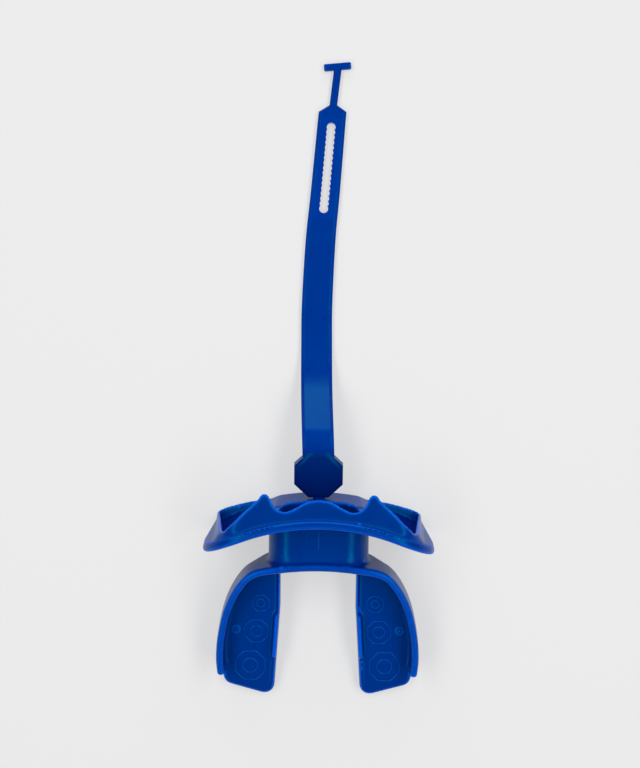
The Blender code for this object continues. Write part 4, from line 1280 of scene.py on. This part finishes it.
class MOUTHGUARD_OT_guard(Operator):
    """Mould the tooth tray, neck and lip guard"""
    bl_idname = "mouthguard.guard"
    bl_label = "Tray, Neck and Lip Guard"

    def execute(self, context):
        m = context.scene.mouthguard
        guard = build_guard(m)
        place = guard_place(m, guard)
        context.scene["guard_place"] = [value for row in place for value in row]
        soften(m, guard)
        guard.name = "guard"
        dress(m, guard)
        shade_and_coarsen_pockets(m, guard)
        guard.data.transform(place)
        return {"FINISHED"}


def stored_place(scene):
    """The matrix that lays the guard on the table, kept when it was moulded."""
    if "guard_place" not in scene:
        raise RuntimeError("mould the tray, neck and lip guard first")
    values = list(scene["guard_place"])
    return Matrix([values[row * 4:row * 4 + 4] for row in range(4)])


class MOUTHGUARD_OT_strap(Operator):
    """Mould the tether strap with its octagon plate, slot and cross bar"""
    bl_idname = "mouthguard.strap"
    bl_label = "Tether Strap"

    def execute(self, context):
        m = context.scene.mouthguard
        strap = make_strap_strip(m)
        combine(strap, make_octagon(m), "UNION")
        combine(strap, make_slot(m), "DIFFERENCE")
        combine(strap, make_bar(m), "UNION")
        strap.name = "tether_strap"
        rubber = m.rubber
        # The strap's skin is painted lighter for the table light behind it, with a painted highlight on its
        # edges
        dress(m, strap, moulded_rubber(m, "strap_rubber_painted_light", rubber.strap_backlit_tone, rubber.strap_rim_light))
        polish_and_shade_octagon(m, strap)
        origin = stored_place(context.scene).translation
        strap.data.transform(Matrix.Translation((0.0, origin.y, 0.0)))
        strap.data.set_sharp_from_angle(angle=m.strap.sharp_bend)
        return {"FINISHED"}


class MOUTHGUARD_OT_grip_rings(Operator):
    """Raise the octagon grip rings on the bite pads"""
    bl_idname = "mouthguard.grip_rings"
    bl_label = "Grip Rings"

    def execute(self, context):
        m = context.scene.mouthguard
        form = bmesh.new()
        for behind, across, radius in GRIP_RINGS:
            for side in (1, -1):
                middle = Vector((side * across * MM, wall_front(m) - behind * MM))
                for size in (1.0, m.marks.ring_inner):
                    add_grip_ring(form, middle, radius * MM * size, m)
        rings = new_object("grip_rings", form)
        rings.data.transform(stored_place(context.scene))
        # The rings' rounded edges get a painted highlight
        dress(m, rings, moulded_rubber(m, "marks_rubber_painted_rims", m.rubber.skin, m.rubber.mark_rim_light))
        rings.data.set_sharp_from_angle(angle=m.marks.sharp_bend)
        return {"FINISHED"}


class MOUTHGUARD_OT_mould_marks(Operator):
    """Leave the marks of the mould: the gate stubs on the pads and the parting line on the neck"""
    bl_idname = "mouthguard.mould_marks"
    bl_label = "Mould Marks"

    def execute(self, context):
        m = context.scene.mouthguard
        marks = m.marks
        form = bmesh.new()
        wide, high, pip = marks.gate_radius, marks.gate_height, marks.pip_radius
        seat = ((wide, -SINK), (wide, high * 0.4), (wide * 0.94, high), (wide * 0.55, high))
        stub = ((pip * 1.5, high * 0.3), (pip, high * 0.3), (pip * 0.8, high * 2.6), (pip * 0.3, high * 3.0))
        y = wall_front(m) - marks.gate_behind
        add_round(form, Vector((marks.gate_across, y)), seat + stub)
        add_round(form, Vector((-marks.gate_across, y)), seat)
        gates = new_object("gate_marks", form)
        gates.data.transform(stored_place(context.scene))
        # The marks' rounded edges get a painted highlight
        faint = moulded_rubber(m, "marks_rubber_painted_rims", m.rubber.skin, m.rubber.mark_rim_light)
        dress(m, gates, faint)
        line = make_parting_line(m)
        line.data.transform(stored_place(context.scene))
        dress(m, line, faint)
        return {"FINISHED"}


def make_parting_line(m):
    """The fine raised line that the two halves of the mould leave along the top of the neck."""
    neck = m.neck
    half = neck.mould_line_width / 2.0
    high = neck.mould_line_height
    top = neck.height / 2.0
    start = m.plate.thickness * 0.2
    end = wall_front(m) + neck.flare_length
    profile = ((-half, -SINK), (-half, 0.0), (-half * 0.5, high * 0.8), (0.0, high), (half * 0.5, high * 0.8),
               (half, 0.0), (half, -SINK))
    rings = []
    for k in range(PARTING_LINE_STEPS + 1):
        y = start + (end - start) * k / PARTING_LINE_STEPS
        lift = flare_at(-y, neck.flare_length / 2.0, neck.flare / 2.0)
        rings.append([Vector((x, y, top + lift + z)) for x, z in profile])
    return loft("mould_line", rings)


def add_light(name, place, target, size, power):
    light = bpy.data.lights.new(name, "AREA")
    light.shape = "RECTANGLE"
    light.size, light.size_y = size
    light.energy = power
    lamp = bpy.data.objects.new(name, light)
    lamp.location = place
    lamp.rotation_euler = (Vector(target) - Vector(place)).to_track_quat("-Z", "Y").to_euler()
    bpy.context.scene.collection.objects.link(lamp)
    return lamp


class MOUTHGUARD_OT_stage(Operator):
    """Set the floor, lights, world and camera"""
    bl_idname = "mouthguard.stage"
    bl_label = "Stage"

    def execute(self, context):
        scene = context.scene
        m = scene.mouthguard
        stage = m.stage
        origin = stored_place(scene).translation
        form = bmesh.new()
        bmesh.ops.create_grid(form, x_segments=1, y_segments=1, size=stage.floor_half)
        floor = new_object("floor", form)
        floor.data.materials.append(matt_card(m))
        middle = (0.0, origin.y + stage.view_ahead, 0.0)
        softbox = (stage.softbox_length, stage.softbox_width)
        for name, side, power in (("left", -1.0, stage.left_power), ("right", 1.0, stage.right_power)):
            place = (side * stage.softbox_reach, middle[1], stage.softbox_height)
            add_light(name, place, middle, softbox, power)
        place = (0.0, middle[1] + stage.key_reach, stage.key_height)
        add_light("key", place, middle, (stage.softbox_length, stage.key_face), stage.key_power)
        world = bpy.data.worlds.new("even_light")
        world.use_nodes = True
        background = world.node_tree.nodes["Background"].inputs
        background["Color"].default_value = (1.0, 1.0, 1.0, 1.0)
        background["Strength"].default_value = stage.sky
        scene.world = world
        camera = bpy.data.cameras.new("camera")
        camera.sensor_fit = "VERTICAL"
        camera.angle_y = 2.0 * math.atan(stage.view_height / 2.0 / stage.camera_height)
        camera.clip_start = CAMERA_CLIP
        view = bpy.data.objects.new("camera", camera)
        view.location = (stage.view_side, middle[1], stage.camera_height)
        view.rotation_euler = (0.0, 0.0, stage.roll)
        scene.collection.objects.link(view)
        scene.camera = view
        scene.view_settings.view_transform = "Standard"
        return {"FINISHED"}


class MOUTHGUARD_PT_sidebar(Panel):
    """Sizes, finish and builders of the mouthguard"""
    bl_idname = "MOUTHGUARD_PT_sidebar"
    bl_label = "Moulded Mouthguard"
    bl_space_type = "VIEW_3D"
    bl_region_type = "UI"
    bl_category = "Mouthguard"

    def draw(self, context):
        m = context.scene.mouthguard
        for builder in BUILDERS:
            self.layout.operator(builder.bl_idname)
        for name in MouthguardSettings.__annotations__:
            box = self.layout.box()
            box.label(text=name.capitalize())
            group = getattr(m, name)
            for size in group.__annotations__:
                box.prop(group, size)


GROUPS = (TraySizes, NeckSizes, PlateSizes, VisorSizes, StrapSizes, MarkSizes, RubberFinish, StageSizes,
          MouthguardSettings)
BUILDERS = (MOUTHGUARD_OT_guard, MOUTHGUARD_OT_strap, MOUTHGUARD_OT_grip_rings, MOUTHGUARD_OT_mould_marks,
            MOUTHGUARD_OT_stage)
CLASSES = GROUPS + BUILDERS + (MOUTHGUARD_PT_sidebar,)


def register():
    for item in CLASSES:
        bpy.utils.register_class(item)
    bpy.types.Scene.mouthguard = PointerProperty(type=MouthguardSettings)


def unregister():
    del bpy.types.Scene.mouthguard
    for item in reversed(CLASSES):
        bpy.utils.unregister_class(item)


def main():
    register()
    bpy.ops.mouthguard.guard()
    bpy.ops.mouthguard.strap()
    bpy.ops.mouthguard.grip_rings()
    bpy.ops.mouthguard.mould_marks()
    bpy.ops.mouthguard.stage()


if __name__ == "__main__":
    main()
